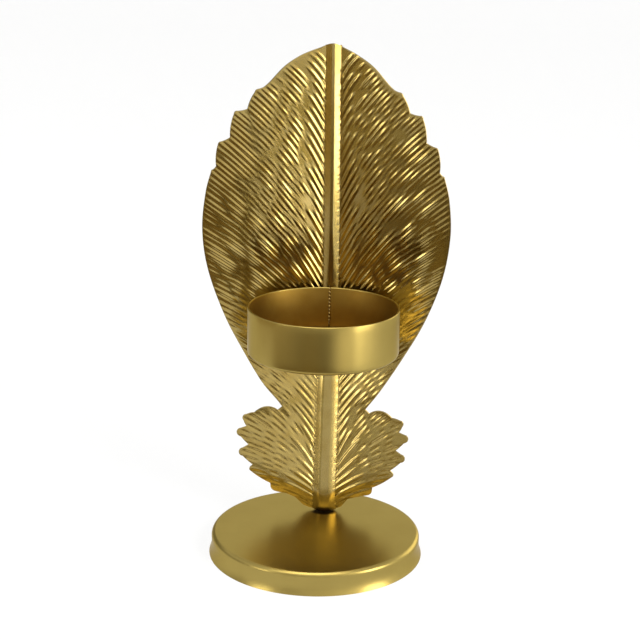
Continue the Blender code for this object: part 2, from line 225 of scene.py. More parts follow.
@dataclass(frozen=True)
class BrassFinish:
    """Lacquered brass: one shader with a fine grain, faint stains, smoother raised places and, where asked,
    painted shade at the leaf's foot.
    """

    name: str
    body: str
    stain: str
    roughness: float
    roughness_spread: float
    grain_size: float
    grain_height: float
    stain_size: float
    coat: float
    coat_roughness: float
    raised: str = ""
    # When set, the finish paints a dark patch of shade where the leaf's foot meets the base
    painted_foot_shade: bool = False

    def make(self) -> Material:
        """Make the finish.

        Returns:
            The finished material.
        """
        material = bpy.data.materials.new(self.name)
        material.use_nodes = True
        tree = material.node_tree
        node = partial(add_node, tree)
        shader = tree.nodes["Principled BSDF"]
        for label, value in (("Metallic", 1.0), ("Specular Tint", linear(EDGE_TINT)),
                             ("Coat Weight", self.coat), ("Coat Roughness", self.coat_roughness)):
            shader.inputs[label].default_value = value
        place = node("ShaderNodeTexCoord").outputs["Object"]
        clouds = node("ShaderNodeTexNoise", None, {
            "Vector": place, "Scale": 1.0 / self.stain_size, **STAIN_NOISE}).outputs["Fac"]
        share = node("ShaderNodeMapRange", None, {"Value": clouds, **STAIN_SHARE})
        colour = node("ShaderNodeMix", {"data_type": "RGBA"}, {
            "Factor": share, 6: linear(self.body), 7: linear(self.stain)}).outputs[2]
        # Painted shade: darken the colour near the leaf's foot, where it meets the base
        if self.painted_foot_shade:
            away = node("ShaderNodeVectorMath", {"operation": "SUBTRACT"}, (place, FOOT_SHADE_PLACE))
            shape = node("ShaderNodeVectorMath", {"operation": "DIVIDE"}, (away, FOOT_SHADE_REACH))
            reach = node("ShaderNodeVectorMath", {"operation": "LENGTH"}, (shape,)).outputs["Value"]
            foot_shade = node("ShaderNodeMapRange", {"interpolation_type": "SMOOTHSTEP"},
                        {"Value": reach, **FOOT_SHADE_FADE})
            colour = node("ShaderNodeMix", {"data_type": "RGBA"}, {
                "Factor": foot_shade, 6: colour, 7: linear(FOOT_SHADE_COLOUR)}).outputs[2]
        tree.links.new(colour, shader.inputs["Base Color"])
        grain = node("ShaderNodeTexNoise", None, {
            "Vector": place, "Scale": 1.0 / self.grain_size, **GRAIN_NOISE}).outputs["Fac"]
        rough = node("ShaderNodeMath", {"operation": "MULTIPLY_ADD"}, (
            grain, self.roughness_spread, self.roughness - self.roughness_spread / 2))
        if self.raised:
            height = node("ShaderNodeAttribute", {"attribute_name": self.raised}).outputs["Fac"]
            rough = node("ShaderNodeMath", {"operation": "MULTIPLY_ADD"}, (height, -CREST_POLISH, rough))
        tree.links.new(rough.outputs[0], shader.inputs["Roughness"])
        bump = node("ShaderNodeBump", None,
                    {"Height": grain, "Strength": 1.0, "Distance": self.grain_height})
        tree.links.new(bump.outputs[0], shader.inputs["Normal"])
        return material


# Sheet brass, pressed in a die and gold-lacquered: smooth rubbed crests between slightly duller flats
PRESSED_BRASS = BrassFinish(
    name="brass_sheet_pressed_lacquered", body="#a8924f", stain="#a0873f", roughness=0.22,
    roughness_spread=0.08, grain_size=0.35 * MM, grain_height=0.004 * MM, stain_size=5.0 * MM,
    coat=0.70, coat_roughness=0.13, raised="raised", painted_foot_shade=True)
# Sheet brass, rolled and spun, then satin-lacquered: an even soft sheen with a fine grain
SATIN_BRASS = BrassFinish(
    name="brass_sheet_satin_lacquered", body="#a4904f", stain="#9f8b4b", roughness=0.30,
    roughness_spread=0.06, grain_size=0.30 * MM, grain_height=0.0016 * MM, stain_size=14.0 * MM,
    coat=0.04, coat_roughness=0.30, painted_foot_shade=True)
# The same sheet inside the cup: rougher, because the polishing wheel does not reach it, and a darker, redder
# colour that is painted shade of the cup's hollow
INNER_BRASS_SHADED = BrassFinish(
    name="brass_sheet_inside_painted_shade", body="#997a34", stain="#8f702d", roughness=0.46,
    roughness_spread=0.12, grain_size=0.30 * MM, grain_height=0.006 * MM, stain_size=6.0 * MM,
    coat=0.03, coat_roughness=0.30)
# Weld metal under the same lacquer: rougher and darker, because the flux pits its skin
WELD_BRASS = BrassFinish(
    name="brass_weld_lacquered", body="#a2884a", stain="#7d6431", roughness=0.42,
    roughness_spread=0.16, grain_size=0.25 * MM, grain_height=0.020 * MM, stain_size=1.2 * MM,
    coat=0.25, coat_roughness=0.30)


def arc_points(centre: Pair, radius: float, start: float, end: float, steps: int) -> list[Pair]:
    """Return points on an arc in the (r, z) plane.

    Args:
        centre: The arc's centre.
        radius: Its radius.
        start: The first angle, in degrees from +r towards +z.
        end: The last angle.
        steps: How many stretches it has.

    Returns:
        One point more than there are steps.
    """
    angles = [math.radians(start + (end - start) * i / steps) for i in range(steps + 1)]
    return [(centre[0] + radius * math.cos(a), centre[1] + radius * math.sin(a)) for a in angles]


def ease(values: np.ndarray, start: float, run: float) -> np.ndarray:
    """Return a smooth step from 0 at a start to 1 after a run."""
    share = np.clip((values - start) / run, 0.0, 1.0)
    return share * share * (3.0 - 2.0 * share)


def turned_mesh(name: str, profile: list[Pair], steps: int, middle: float = 0.0, gap: float = 0.0) -> Mesh:
    """Turn a closed (r, z) profile about an upright axis, with an open gap at the back if one is asked for.

    Args:
        name: The mesh's name.
        profile: The profile, drawn down its outer side; it may begin and end on the axis.
        steps: How many stretches the turn has.
        middle: The axis's place along X.
        gap: The width of the gap at the back, on the profile's outermost radius.

    Returns:
        The closed mesh, shaded smooth.
    """
    closed = profile[0][0] == 0.0
    body = profile[1:-1] if closed else profile
    half_gap = gap / 2 / max(r for r, _ in profile)
    mesh = bmesh.new()
    rings = []
    for i in range(steps + 1 if gap else steps):
        angle = math.pi / 2 + half_gap + (math.tau - 2 * half_gap) * i / steps
        across, deep = math.cos(angle), math.sin(angle)
        rings.append([mesh.verts.new((middle + r * across, r * deep, z)) for r, z in body])
    pairs = list(zip(rings, rings[1:] if gap else rings[1:] + rings[:1]))
    for one, other in pairs:
        for a, b, c, d in zip(one, one[1:], other[1:], other):
            mesh.faces.new((a, b, c, d))
        if not closed:
            mesh.faces.new((one[-1], one[0], other[0], other[-1]))
    if closed:
        for row, level in ((0, profile[0][1]), (-1, profile[-1][1])):
            pole = mesh.verts.new((middle, 0.0, level))
            for one, other in pairs:
                mesh.faces.new((one[row], other[row], pole))
    elif gap:
        for ring in (rings[0], rings[-1]):
            mesh.faces.new(ring)
    bmesh.ops.recalc_face_normals(mesh, faces=mesh.faces)
    data = bpy.data.meshes.new(name)
    mesh.to_mesh(data)
    mesh.free()
    data.shade_smooth()
    data.set_sharp_from_angle(angle=CREASE)
    return data


@dataclass
class Base:
    """The round base: a dish pressed from sheet, open underneath."""

    radius: float = 29.7 * MM
    height: float = 6.4 * MM
    sheet: float = 1.0 * MM
    edge_round: float = 1.3 * MM
    flare: float = 0.7 * MM
    flare_height: float = 4.6 * MM
    hollow: float = 0.12 * MM
    rings: tuple[float, ...] = (4.0 * MM, 10.0 * MM, 16.0 * MM, 22.0 * MM)
    steps: int = 240
    round_steps: int = 10
    wall_steps: int = 12

    def wall(self, offset: float) -> list[Pair]:
        """Draw the profile from the top edge down the wall.

        Args:
            offset: How far it lies inside the outer skin.

        Returns:
            Its points.
        """
        centre = (self.radius - self.edge_round, self.height - self.edge_round)
        points = arc_points(centre, self.edge_round - offset, 90.0, 0.0, self.round_steps)
        points.append((self.radius - offset, self.flare_height))
        for i in range(1, self.wall_steps + 1):
            drop = i / self.wall_steps
            dent = self.hollow * math.sin(math.pi * drop)
            points.append((self.radius - offset - dent + self.flare * drop ** 2,
                           self.flare_height * (1.0 - drop)))
        return points

    def build(self, material: Material) -> Object:
        """Build the base.

        Args:
            material: Its finish.

        Returns:
            The finished piece.
        """
        under = self.height - self.sheet
        profile = [(r, self.height) for r in (0.0, *self.rings)] + self.wall(0.0)
        profile += self.wall(self.sheet)[::-1] + [(r, under) for r in (*self.rings[::-1], 0.0)]
        mesh = turned_mesh("base_dish_turned", profile, self.steps)
        return hand_over(link_object("base_pressed_dish", mesh, material), Slot.BASE, "base_dish")


@dataclass
class Cup:
    """The tealight cup: a rolled band, its turned-in edge and the floor disc."""

    radius: float = 21.0 * MM
    height: float = 13.4 * MM
    rim_level: float = 72.6 * MM
    sheet: float = 0.9 * MM
    rim_sheet: float = 0.5 * MM
    rim_thinning: float = 5.0 * MM
    edge_round: float = 1.2 * MM
    lip: float = 3.0 * MM
    floor_sheet: float = 0.8 * MM
    floor_edge_round: float = 0.15 * MM
    floor_rings: tuple[float, ...] = (3.0 * MM, 8.0 * MM, 12.0 * MM)
    dish_radius: float = 15.0 * MM
    dish_depth: float = 0.5 * MM
    seam_slit: float = 0.5 * MM
    steps: int = 240
    rim_steps: int = 12
    round_steps: int = 10
    slope_steps: int = 8
    wall_steps: int = 6

    @property
    def bottom_level(self) -> float:
        """Level of the cup's lowest edge."""
        return self.rim_level - self.height

    @property
    def floor_level(self) -> float:
        """Level of the floor disc's underside."""
        return self.bottom_level + self.sheet + SEAT

    @property
    def bore(self) -> float:
        """Radius of the band's inner wall."""
        return self.radius - self.sheet

    def build_band(self, material: Material, inner: Material) -> Object:
        """Build the rolled band with its open butt seam.

        Args:
            material: Its finish.
            inner: The finish of its inside, whose darker colour is painted shade.

        Returns:
            The finished piece.
        """
        centre = (self.radius - self.edge_round, self.bottom_level + self.edge_round)
        outer_turn = arc_points(centre, self.edge_round, 0.0, -90.0, self.round_steps)
        inner_turn = arc_points(centre, self.edge_round - self.sheet, -90.0, 0.0, self.round_steps // 2)
        lip_radius = self.radius - self.edge_round - self.lip
        lip_end = [(lip_radius, self.bottom_level), (lip_radius, self.bottom_level + self.sheet)]
        rounding = self.rim_sheet / 2
        rim = arc_points((self.radius - rounding, self.rim_level - rounding), rounding, 180.0, 0.0,
                         self.rim_steps)
        drops = [i / self.wall_steps for i in range(1, self.wall_steps)]
        top, low, inner_low = rim[-1][1], outer_turn[0][1], inner_turn[-1][1]
        wall = [(self.radius, top + (low - top) * d) for d in drops]
        inside = []
        for d in drops:
            level = inner_low + (top - inner_low) * d
            thinner = float(ease(level, top - self.rim_thinning, self.rim_thinning))
            inside.append((self.bore + (self.sheet - self.rim_sheet) * thinner, level))
        profile = rim + wall + outer_turn + lip_end + inner_turn + inside
        mesh = turned_mesh("cup_band_turned", profile, self.steps, UPPER_OFFSET, self.seam_slit)
        band = link_object("cup_rolled_band", mesh, material)
        mesh.materials.append(inner)
        for face in mesh.polygons:
            if math.hypot(face.center.x - UPPER_OFFSET, face.center.y) < self.radius - self.rim_sheet:
                face.material_index = int(face.center.z > self.bottom_level + self.sheet / 2)
        return hand_over(band, Slot.CUP, "cup_band")

    def build_floor(self, material: Material) -> Object:
        """Build the dished floor disc.

        Args:
            material: Its finish.

        Returns:
            The finished piece.
        """
        edge, rounding = self.bore - SEAT, self.floor_edge_round
        low, top = self.floor_level, self.floor_level + self.floor_sheet
        slope = []
        for share in np.linspace(0.0, 1.0, self.slope_steps + 1):
            slope.append((self.dish_radius + 2 * self.dish_depth * share,
                          self.dish_depth * float(ease(share, 0.0, 1.0)) - self.dish_depth))
        profile = [(r, top - self.dish_depth) for r in (0.0, *self.floor_rings)]
        profile += [(r, top + z) for r, z in slope] + [(edge - rounding, top), (edge, top - rounding)]
        profile += [(edge, low + rounding), (edge - rounding, low)] + [(r, low + z) for r, z in slope[::-1]]
        profile += [(r, low - self.dish_depth) for r in (*self.floor_rings[::-1], 0.0)]
        mesh = turned_mesh("cup_floor_pressed", profile, self.steps, UPPER_OFFSET)
        return hand_over(link_object("cup_floor_disc", mesh, material), Slot.CUP, "cup_floor")


@dataclass
class VeinRun:
    """One stretch of the margin, and where on the midrib its veins begin, in per cent of the height.

    A station is a place on the drawing in per cent, the bulge of the edge that ends there and the number
    of its veins. A knot is a place alone: a smooth curve runs through the knots with evenly spaced veins.
    """

    first_root: float
    last_root: float
    stations: tuple[tuple[float, float, float, int], ...] = ()
    knots: tuple[Pair, ...] = ()
    veins: int = 0


@dataclass
class LeafForm:
    """The leaf's drawing and its depth, by the same rules as the solid."""

    half_width: float = 34.8 * MM
    height: float = 135.7 * MM
    foot_level: float = 6.7 * MM
    sheet: float = 0.8 * MM
    lean: float = math.radians(12.0)
    bend_level: float = 66.0 * MM
    nod: float = math.radians(5.0)
    nod_level: float = 76.0 * MM
    softness: float = 3.0 * MM
    contact_level: float = 59.2 * MM
    midrib_contact_depth: float = 21.8 * MM
    foot_half_width: float = 4.2 * MM
    foot_round: float = 0.6 * MM
    tip_half_width: float = 2.2 * MM
    tip_round: float = 0.8 * MM
    midrib_offset: float = 0.8 * MM
    midrib_offset_run: float = 8.0 * MM
    left_fullness: float = 0.8 * MM
    left_run_in: float = 7.0 * MM
    left_end: float = 80.0 * MM
    left_run_out: float = 28.0 * MM
    midrib_flank: float = 1.9 * MM
    midrib_flank_pitch: float = math.radians(29.0)
    midrib_tops: Triple = (1.4 * MM, 0.5 * MM, 0.15 * MM)
    midrib_most_of_row: float = 0.75
    midrib_top_most_of_midrib: float = 0.5
    blade_swell: float = 9.0 * MM
    blade_crest: float = 40.0 * MM
    frill_swell: float = 6.5 * MM
    frill_crest: float = 34.0 * MM
    frill_top: float = 39.0 * MM
    frill_blend: float = 5.0 * MM
    tuck: float = math.radians(26.0)
    tuck_level: float = 10.5 * MM
    tuck_climb: float = 0.45
    tuck_softness: float = 1.0 * MM
    vein_bow: float = math.radians(12.0)
    splits: int = 5
    knot_steps: int = 24
    frill: VeinRun = field(default_factory=lambda: VeinRun(0.0, 11.2, stations=(
        (16.2, 1.0, 0.00, 1), (22.5, 3.0, 0.00, 1), (31.0, 4.1, 0.00, 1),
        (39.3, 4.4, 0.10, 1), (42.9, 5.5, 0.30, 1), (43.1, 6.4, 0.00, 1),
        (59.2, 9.2, 0.06, 3), (59.8, 10.1, 0.60, 1), (57.8, 10.6, 0.00, 1),
        (66.4, 12.5, 0.04, 2), (66.6, 14.2, 0.95, 2), (61.8, 14.9, 0.00, 1),
        (68.7, 16.7, 0.04, 2), (68.7, 18.4, 0.95, 2), (63.9, 18.8, 0.00, 1),
        (66.5, 20.0, 0.10, 1), (64.3, 21.3, 0.70, 2), (57.5, 21.7, 0.10, 1),
        (54.6, 22.3, 0.10, 1), (38.4, 22.1, 0.35, 5), (35.0, 22.8, 0.00, 1))))
    blade: VeinRun = field(default_factory=lambda: VeinRun(11.2, 44.6, knots=(
        (46.5, 27.0), (63.0, 33.8), (81.5, 42.4), (94.8, 52.0), (100.0, 61.3), (98.0, 69.1),
        (93.4, 73.9)), veins=44))
    teeth: VeinRun = field(default_factory=lambda: VeinRun(44.6, 74.0, stations=(
        (89.6, 74.8, -0.20, 2), (87.9, 79.3, 0.10, 5), (86.1, 79.9, 0.30, 1),
        (78.3, 80.8, -0.10, 3), (75.1, 85.6, 0.10, 6), (73.4, 86.3, 0.30, 1),
        (64.5, 86.7, -0.10, 3), (58.7, 90.1, 0.10, 5), (56.1, 90.8, 0.30, 1),
        (51.4, 91.2, -0.10, 3))))
    shoulder: VeinRun = field(default_factory=lambda: VeinRun(74.0, 100.0, knots=(
        (47.1, 92.2), (35.0, 95.5), (21.4, 97.8)), veins=22))

    @property
    def tip_level(self) -> float:
        """Level of the leaf's tip."""
        return self.foot_level + self.height

    def place(self, u_share: float, v_share: float) -> np.ndarray:
        """Turn per cent of the half width and of the height into a place on the drawing."""
        return np.array((self.half_width * u_share * PER_CENT,
                         self.foot_level + self.height * v_share * PER_CENT))

    def station_run(self, start: np.ndarray, run: VeinRun) -> list[np.ndarray]:
        """Return the fine points along a stretch of straight and bulged edges.

        Args:
            start: The last point before the stretch.
            run: The stretch.

        Returns:
            Its points after the start, with the splits of each vein.
        """
        points = []
        for u_share, v_share, bulge, count in run.stations:
            end = self.place(u_share, v_share)
            half_chord = (end - start) / 2
            side = np.array((half_chord[1], -half_chord[0]))
            half_turn = 2.0 * math.atan(bulge)
            for i in range(1, count * self.splits + 1):
                share = 2.0 * i / (count * self.splits) - 1.0
                along, out = share, 0.0
                if bulge != 0.0:
                    along = math.sin(half_turn * share) / math.sin(half_turn)
                    out = (math.cos(half_turn * share) - math.cos(half_turn)) / math.sin(half_turn)
                points.append((start + end) / 2 + half_chord * along + side * out)
            start = end
        return points

    def knot_run(self, start: np.ndarray, run: VeinRun, last: np.ndarray | None = None) -> list[np.ndarray]:
        """Return the fine points along a stretch that is a smooth curve through its knots.

        Args:
            start: The last point before the stretch.
            run: The stretch.
            last: A point that ends it after its knots, if it has one.

        Returns:
            Its points after the start, evenly spaced.
        """
        knots = [start] + [self.place(*k) for k in run.knots] + ([] if last is None else [last])
        held = [2 * knots[0] - knots[1]] + knots + [2 * knots[-1] - knots[-2]]
        fine = []
        for a, b, c, d in zip(held, held[1:], held[2:], held[3:]):
            for t in np.arange(self.knot_steps) / self.knot_steps:
                fine.append(0.5 * (2 * b + (c - a) * t + (2 * a - 5 * b + 4 * c - d) * t ** 2
                                   + (3 * b - a - 3 * c + d) * t ** 3))
        fine = np.array(fine + [knots[-1]])
        lengths = np.concatenate(([0.0], np.cumsum(np.linalg.norm(np.diff(fine, axis=0), axis=1))))
        count = run.veins * self.splits
        wanted = lengths[-1] * np.arange(1, count + 1) / count
        return list(np.stack([np.interp(wanted, lengths, fine[:, k]) for k in (0, 1)], axis=1))

    def rows(self) -> tuple[np.ndarray, np.ndarray]:
        """Lay out the fine rows from the foot to the tip.

        Returns:
            Each row's level on the midrib and its end on the margin.
        """
        foot_end = np.array((self.foot_half_width, self.foot_level + self.foot_round))
        tip_end = np.array((self.tip_half_width, self.tip_level - self.tip_round))
        frill = self.station_run(foot_end, self.frill)
        blade = self.knot_run(frill[-1], self.blade)
        teeth = self.station_run(blade[-1], self.teeth)
        shoulder = self.knot_run(teeth[-1], self.shoulder, tip_end)
        roots = [self.foot_level]
        for points, run in ((frill, self.frill), (blade, self.blade), (teeth, self.teeth),
                            (shoulder, self.shoulder)):
            shares = run.first_root + (run.last_root - run.first_root) * np.arange(
                1, len(points) + 1) / len(points)
            roots += list(self.foot_level + self.height * shares * PER_CENT)
        return np.array(roots), np.array([foot_end] + frill + blade + teeth + shoulder)

    def midrib_top(self, z: np.ndarray) -> np.ndarray:
        """Find how wide the midrib's flat top is.

        Args:
            z: Levels.

        Returns:
            Half its width at each level.
        """
        foot, bend, tip = self.midrib_tops
        lower = ease(z, self.frill_top, self.bend_level - self.frill_top)
        upper = np.maximum(z - self.bend_level, 0.0) / (self.tip_level - self.bend_level)
        return foot + (bend - foot) * lower + (tip - bend) * upper

    def plane(self, z: np.ndarray) -> np.ndarray:
        """Find the depth of the leaf's plane: it leans back up to the cup, then nods forward.

        Args:
            z: Levels.

        Returns:
            The depth, along +Y, at each level.
        """
        def ramp(value: np.ndarray) -> np.ndarray:
            """Return a rounded ramp."""
            return self.softness * np.logaddexp(0.0, value / self.softness)

        lean = ramp(np.array(self.bend_level - self.contact_level)) - ramp(self.bend_level - z)
        nod = ramp(z - self.nod_level)
        plane = self.midrib_contact_depth + float(self.rise(np.array(0.0), np.array(self.contact_level)))
        return plane + lean * math.tan(self.lean) - nod * math.tan(self.nod)

    def swell(self, u: np.ndarray, z: np.ndarray) -> np.ndarray:
        """Find how far a half comes forward, without the midrib.

        Args:
            u: Distances from the midrib's middle.
            z: Levels.

        Returns:
            How far it stands before the plane at each place.
        """
        blade = self.blade_swell * np.sin(math.pi / 2 * u / self.blade_crest)
        frill = self.frill_swell * np.sin(math.pi / 2 * u / self.frill_crest)
        return frill + (blade - frill) * ease(z, self.frill_top - self.frill_blend, 2 * self.frill_blend)

    def rise(self, u: np.ndarray, z: np.ndarray) -> np.ndarray:
        """Find how far the midrib and the two halves come forward together.

        Args:
            u: Distances from the midrib's middle.
            z: Levels.

        Returns:
            How far the sheet stands before the plane at each place.
        """
        top = self.midrib_top(z)
        foot = top + self.midrib_flank
        rib = self.swell(foot, z) + (foot - np.maximum(u, top)) * math.tan(self.midrib_flank_pitch)
        return np.where(u < foot, rib, self.swell(u, z))

    def depth(self, u: np.ndarray, z: np.ndarray) -> np.ndarray:
        """Find the depth of the sheet's middle.

        Args:
            u: Distances from the midrib's middle.
            z: Levels.

        Returns:
            The depth, along +Y, at each place.
        """
        below = (self.tuck_level + self.tuck_climb * u - z) / self.tuck_softness
        tuck = self.tuck_softness * np.logaddexp(0.0, below)
        return self.plane(z) - self.rise(u, z) + tuck * math.tan(self.tuck)

    def reach(self, ends: np.ndarray, side: Side) -> np.ndarray:
        """Find how far each row reaches from the midrib, which stands off the outline's middle.

        Args:
            ends: The rows' ends on the margin.
            side: The half.

        Returns:
            Each row's reach.
        """
        offset = self.midrib_offset * np.minimum(1.0, ends[:, 0] / self.midrib_offset_run)
        if side is Side.RIGHT:
            return ends[:, 0] - offset
        fuller = ease(ends[:, 1], self.frill_top, self.left_run_in)
        fuller = fuller * (1.0 - ease(ends[:, 1], self.left_end, self.left_run_out))
        return ends[:, 0] + offset + self.left_fullness * fuller

    def grid(self, side: Side, rib_shares: np.ndarray, vein_shares: np.ndarray) -> np.ndarray:
        """Lay out one half of the drawing as rows along the veins.

        Args:
            side: The half.
            rib_shares: Places over the midrib: 0 its middle, 1 the edge of its top, 2 its foot.
            vein_shares: Places from the midrib's foot (0) to the margin (1).

        Returns:
            An array of (u, z) by row and column.
        """
        roots, ends = self.rows()
        reach = self.reach(ends, side)
        count = len(roots)
        index = np.arange(count)
        foot_share = np.clip(1.0 - index / self.splits, 0.0, 1.0)
        tip_share = np.clip(1.0 - (count - 1 - index) / self.splits, 0.0, 1.0)
        rounding = self.foot_round * foot_share - self.tip_round * tip_share
        top = self.midrib_top(roots)
        foot = np.minimum(top + self.midrib_flank, reach * self.midrib_most_of_row)
        top = np.minimum(top, foot * self.midrib_top_most_of_midrib)
        columns = []
        for share in rib_shares:
            u = top * share if share <= 1.0 else top + (foot - top) * (share - 1.0)
            columns.append(np.stack([u, roots + rounding * (u / reach) ** 2], axis=1))
        start = np.stack([foot, roots + rounding * (foot / reach) ** 2], axis=1)
        finish = np.stack([reach, ends[:, 1]], axis=1)
        chord = finish - start
        across = np.stack([-chord[:, 1], chord[:, 0]], axis=1)
        bow = math.tan(self.vein_bow) / 2 * (1.0 - foot_share - tip_share)
        middle = start + chord / 2 + across * bow[:, None]
        for t in vein_shares:
            columns.append(start * (1 - t) ** 2 + middle * 2 * t * (1 - t) + finish * t ** 2)
        return np.stack(columns, axis=1)


@dataclass
class VeinStrokes:
    """The pressed strokes that draw the veins: short lines along the veins, laid evenly side by side.

    Chance leaves bare patches between them. Strokes stand up on the blade and sink in the outer frill,
    and small notches follow the midrib's foot.
    """

    pitch: float = 1.22 * MM
    pitch_spread: Pair = (0.92, 1.12)
    half_width: float = 0.64 * MM
    end_width: float = 0.55
    shortest: float = 2.4 * MM
    fewest_points: int = 4
    root_lengths: Pair = (6.0 * MM, 13.0 * MM)
    lengths: Pair = (5.0 * MM, 17.0 * MM)
    gap: Pair = (0.5 * MM, 1.5 * MM)
    taper: float = 2.2 * MM
    end_swell: float = 0.02
    step: float = 0.40 * MM
    strengths: Pair = (0.65, 1.20)
    quiet_below: float = 60.0 * MM
    quiet_run: float = 6.0 * MM
    quiet_strength: float = 0.55
    frill_strength: float = 0.75
    patch_size: float = 5.5 * MM
    patch_level: float = 0.40
    patch_place: Pair = (3.0, 0.7)
    edge_room: float = 0.45 * MM
    frill_rows: float = 32.0
    frill_groove_from: float = 0.34
    notch_pitch: float = 2.4 * MM
    notch_length: float = 0.9 * MM
    notch_half_width: float = 0.26 * MM
    notch_slant: Pair = (0.5, 0.8)
    notch_heights: Triple = (-0.6, -0.8, -0.4)
    notched_share: float = 0.94
    columns: int = 81
    cell: float = 0.1 * MM
    map_room: Pair = (1.1, 1.05)
    seed: int = 11

    def build(self, form: LeafForm) -> Object:
        """Lay the strokes of both halves on the flat drawing.

        Args:
            form: The leaf's form.

        Returns:
            A mesh of lines with each point's half width and height.
        """
        places: list[Triple] = []
        edges: list[tuple[int, int]] = []
        widths: list[float] = []
        heights: list[float] = []
        for side in Side:
            draw = random.Random(self.seed + int(side.value))
            for line, width, height in self.side_strokes(form, side, draw):
                first = len(places)
                places += [(side.value * u, 0.0, z) for u, z in line]
                edges += [(first + i, first + i + 1) for i in range(len(line) - 1)]
                widths += width
                heights += height
        mesh = bpy.data.meshes.new("vein_strokes")
        mesh.from_pydata(places, edges, [])
        for name, values in (("half_width", widths), ("height", heights)):
            mesh.attributes.new(name, "FLOAT", "POINT").data.foreach_set("value", values)
        return link_object("vein_strokes", mesh)

    def side_strokes(self, form: LeafForm, side: Side, draw: random.Random) -> list[Stroke]:
        """Lay one half's strokes, sweeping from the foot to the tip.

        Args:
            form: The leaf's form.
            side: The half.
            draw: The source of chance.

        Returns:
            The strokes.
        """
        grid = form.grid(side, np.array(()), np.linspace(0.0, 1.0, self.columns))
        wide, high = form.half_width * self.map_room[0], form.tip_level * self.map_room[1]
        occupied = np.zeros((int(wide / self.cell), int(high / self.cell)), bool)
        shift, slice_place = side.value * self.patch_place[0], self.patch_place[1]
        veins = []
        for row in range(2, grid.shape[0] - 2):
            line = grid[row]
            run = np.concatenate(([0.0], np.cumsum(np.linalg.norm(np.diff(line, axis=0), axis=1))))
            if run[-1] < self.shortest:
                continue
            along = np.linspace(0.0, run[-1], int(run[-1] / self.step))
            points = np.stack([np.interp(along, run, line[:, k]) for k in (0, 1)], axis=1)
            clear = along < run[-1] - self.edge_room
            clear &= np.array([noise.noise((shift + p[0] / self.patch_size, slice_place,
                                            p[1] / self.patch_size)) < self.patch_level for p in points])
            veins.append((row / form.splits, points, along, clear))
        strokes = []
        for vein, points, along, _ in veins:
            wanted = np.nonzero(along <= draw.uniform(*self.root_lengths))[0]
            if self.free(points[wanted], occupied).all() and along[-1] > self.root_lengths[0]:
                strokes.append(self.stroke(points[wanted], along[wanted], along[-1], vein, draw, occupied))
        for vein, points, along, clear in veins:
            open_places = clear & self.free(points, occupied)
            start = None
            for i in range(len(along) + 1):
                if i < len(along) and open_places[i]:
                    start = i if start is None else start
                elif start is not None:
                    strokes += self.cut(points[start:i], along[start:i], along[-1], vein, draw, occupied)
                    start = None
        return strokes + self.notches(form)

    def free(self, points: np.ndarray, occupied: np.ndarray) -> np.ndarray:
        """Return which places no stroke has taken yet."""
        cells = (points / self.cell).astype(int)
        return ~occupied[cells[:, 0], cells[:, 1]]

    def cut(self, points: np.ndarray, along: np.ndarray, length: float, vein: float,
            draw: random.Random, occupied: np.ndarray) -> list[Stroke]:
        """Cut a free run into strokes of chance length and mark the room that they take.

        Args:
            points: The run's points.
            along: Their distances from the midrib's foot, along the vein.
            length: The whole vein's length.
            vein: The vein's number, counted from the foot.
            draw: The source of chance.
            occupied: The map of taken cells, which gets the new strokes.

        Returns:
            The strokes.
        """
        strokes = []
        place = along[0] + draw.uniform(0.0, self.gap[0])
        while place < along[-1] - self.shortest:
            end = min(place + draw.uniform(*self.lengths), along[-1])
            if along[-1] - end < self.shortest:
                end = along[-1]
            chosen = np.nonzero((along >= place) & (along <= end))[0]
            place = end + draw.uniform(*self.gap)
            if len(chosen) >= self.fewest_points:
                strokes.append(self.stroke(points[chosen], along[chosen], length, vein, draw, occupied))
        return strokes

    def stroke(self, line: np.ndarray, distance: np.ndarray, length: float, vein: float,
               draw: random.Random, occupied: np.ndarray) -> Stroke:
        """Form one stroke and mark the room that it takes.

        Args:
            line: Its points.
            distance: Their distances from the midrib's foot, along the vein.
            length: The whole vein's length.
            vein: The vein's number, counted from the foot.
            draw: The source of chance.
            occupied: The map of taken cells, which gets the stroke.

        Returns:
            The stroke.
        """
        ends = np.minimum(distance - distance[0], distance[-1] - distance) / self.taper
        swell = np.sqrt(np.clip(ends, self.end_swell, 1.0))
        strength = draw.uniform(*self.strengths)
        in_frill = vein < self.frill_rows
        sign = -1.0 if in_frill and distance.mean() / length > self.frill_groove_from else 1.0
        loud = self.frill_strength if in_frill else self.quiet_strength
        strength *= loud + (1.0 - loud) * ease(line[:, 1], self.quiet_below, self.quiet_run)
        self.mark(line, self.pitch * draw.uniform(*self.pitch_spread), occupied)
        widths = self.half_width * (self.end_width + (1.0 - self.end_width) * swell)
        return line.tolist(), widths.tolist(), (sign * strength * swell).tolist()

    def mark(self, line: np.ndarray, room: float, occupied: np.ndarray) -> None:
        """Mark the cells near a stroke as taken.

        Args:
            line: The stroke's points.
            room: How near.
            occupied: The map of taken cells.
        """
        reach = int(room / self.cell)
        span = np.arange(-reach, reach + 1)
        dx, dz = np.meshgrid(span, span, indexing="ij")
        disc = dx ** 2 + dz ** 2 < reach ** 2
        dx, dz = dx[disc], dz[disc]
        for u, z in line:
            i = np.clip(int(u / self.cell) + dx, 0, occupied.shape[0] - 1)
            k = np.clip(int(z / self.cell) + dz, 0, occupied.shape[1] - 1)
            occupied[i, k] = True

    def notches(self, form: LeafForm) -> list[Stroke]:
        """Lay the small dents along the midrib's foot, where the strokes begin.

        Args:
            form: The leaf's form.

        Returns:
            The dents.
        """
        out, up = (self.notch_length * slant for slant in self.notch_slant)
        dents = []
        for i in range(1, int(form.height * self.notched_share / self.notch_pitch)):
            level = form.foot_level + i * self.notch_pitch
            foot = float(form.midrib_top(np.array(level))) + form.midrib_flank
            line = [(foot + out * share, level + up * share) for share in (0.0, 0.5, 1.0)]
            dents.append((line, [self.notch_half_width] * len(line), list(self.notch_heights)))
        return dents


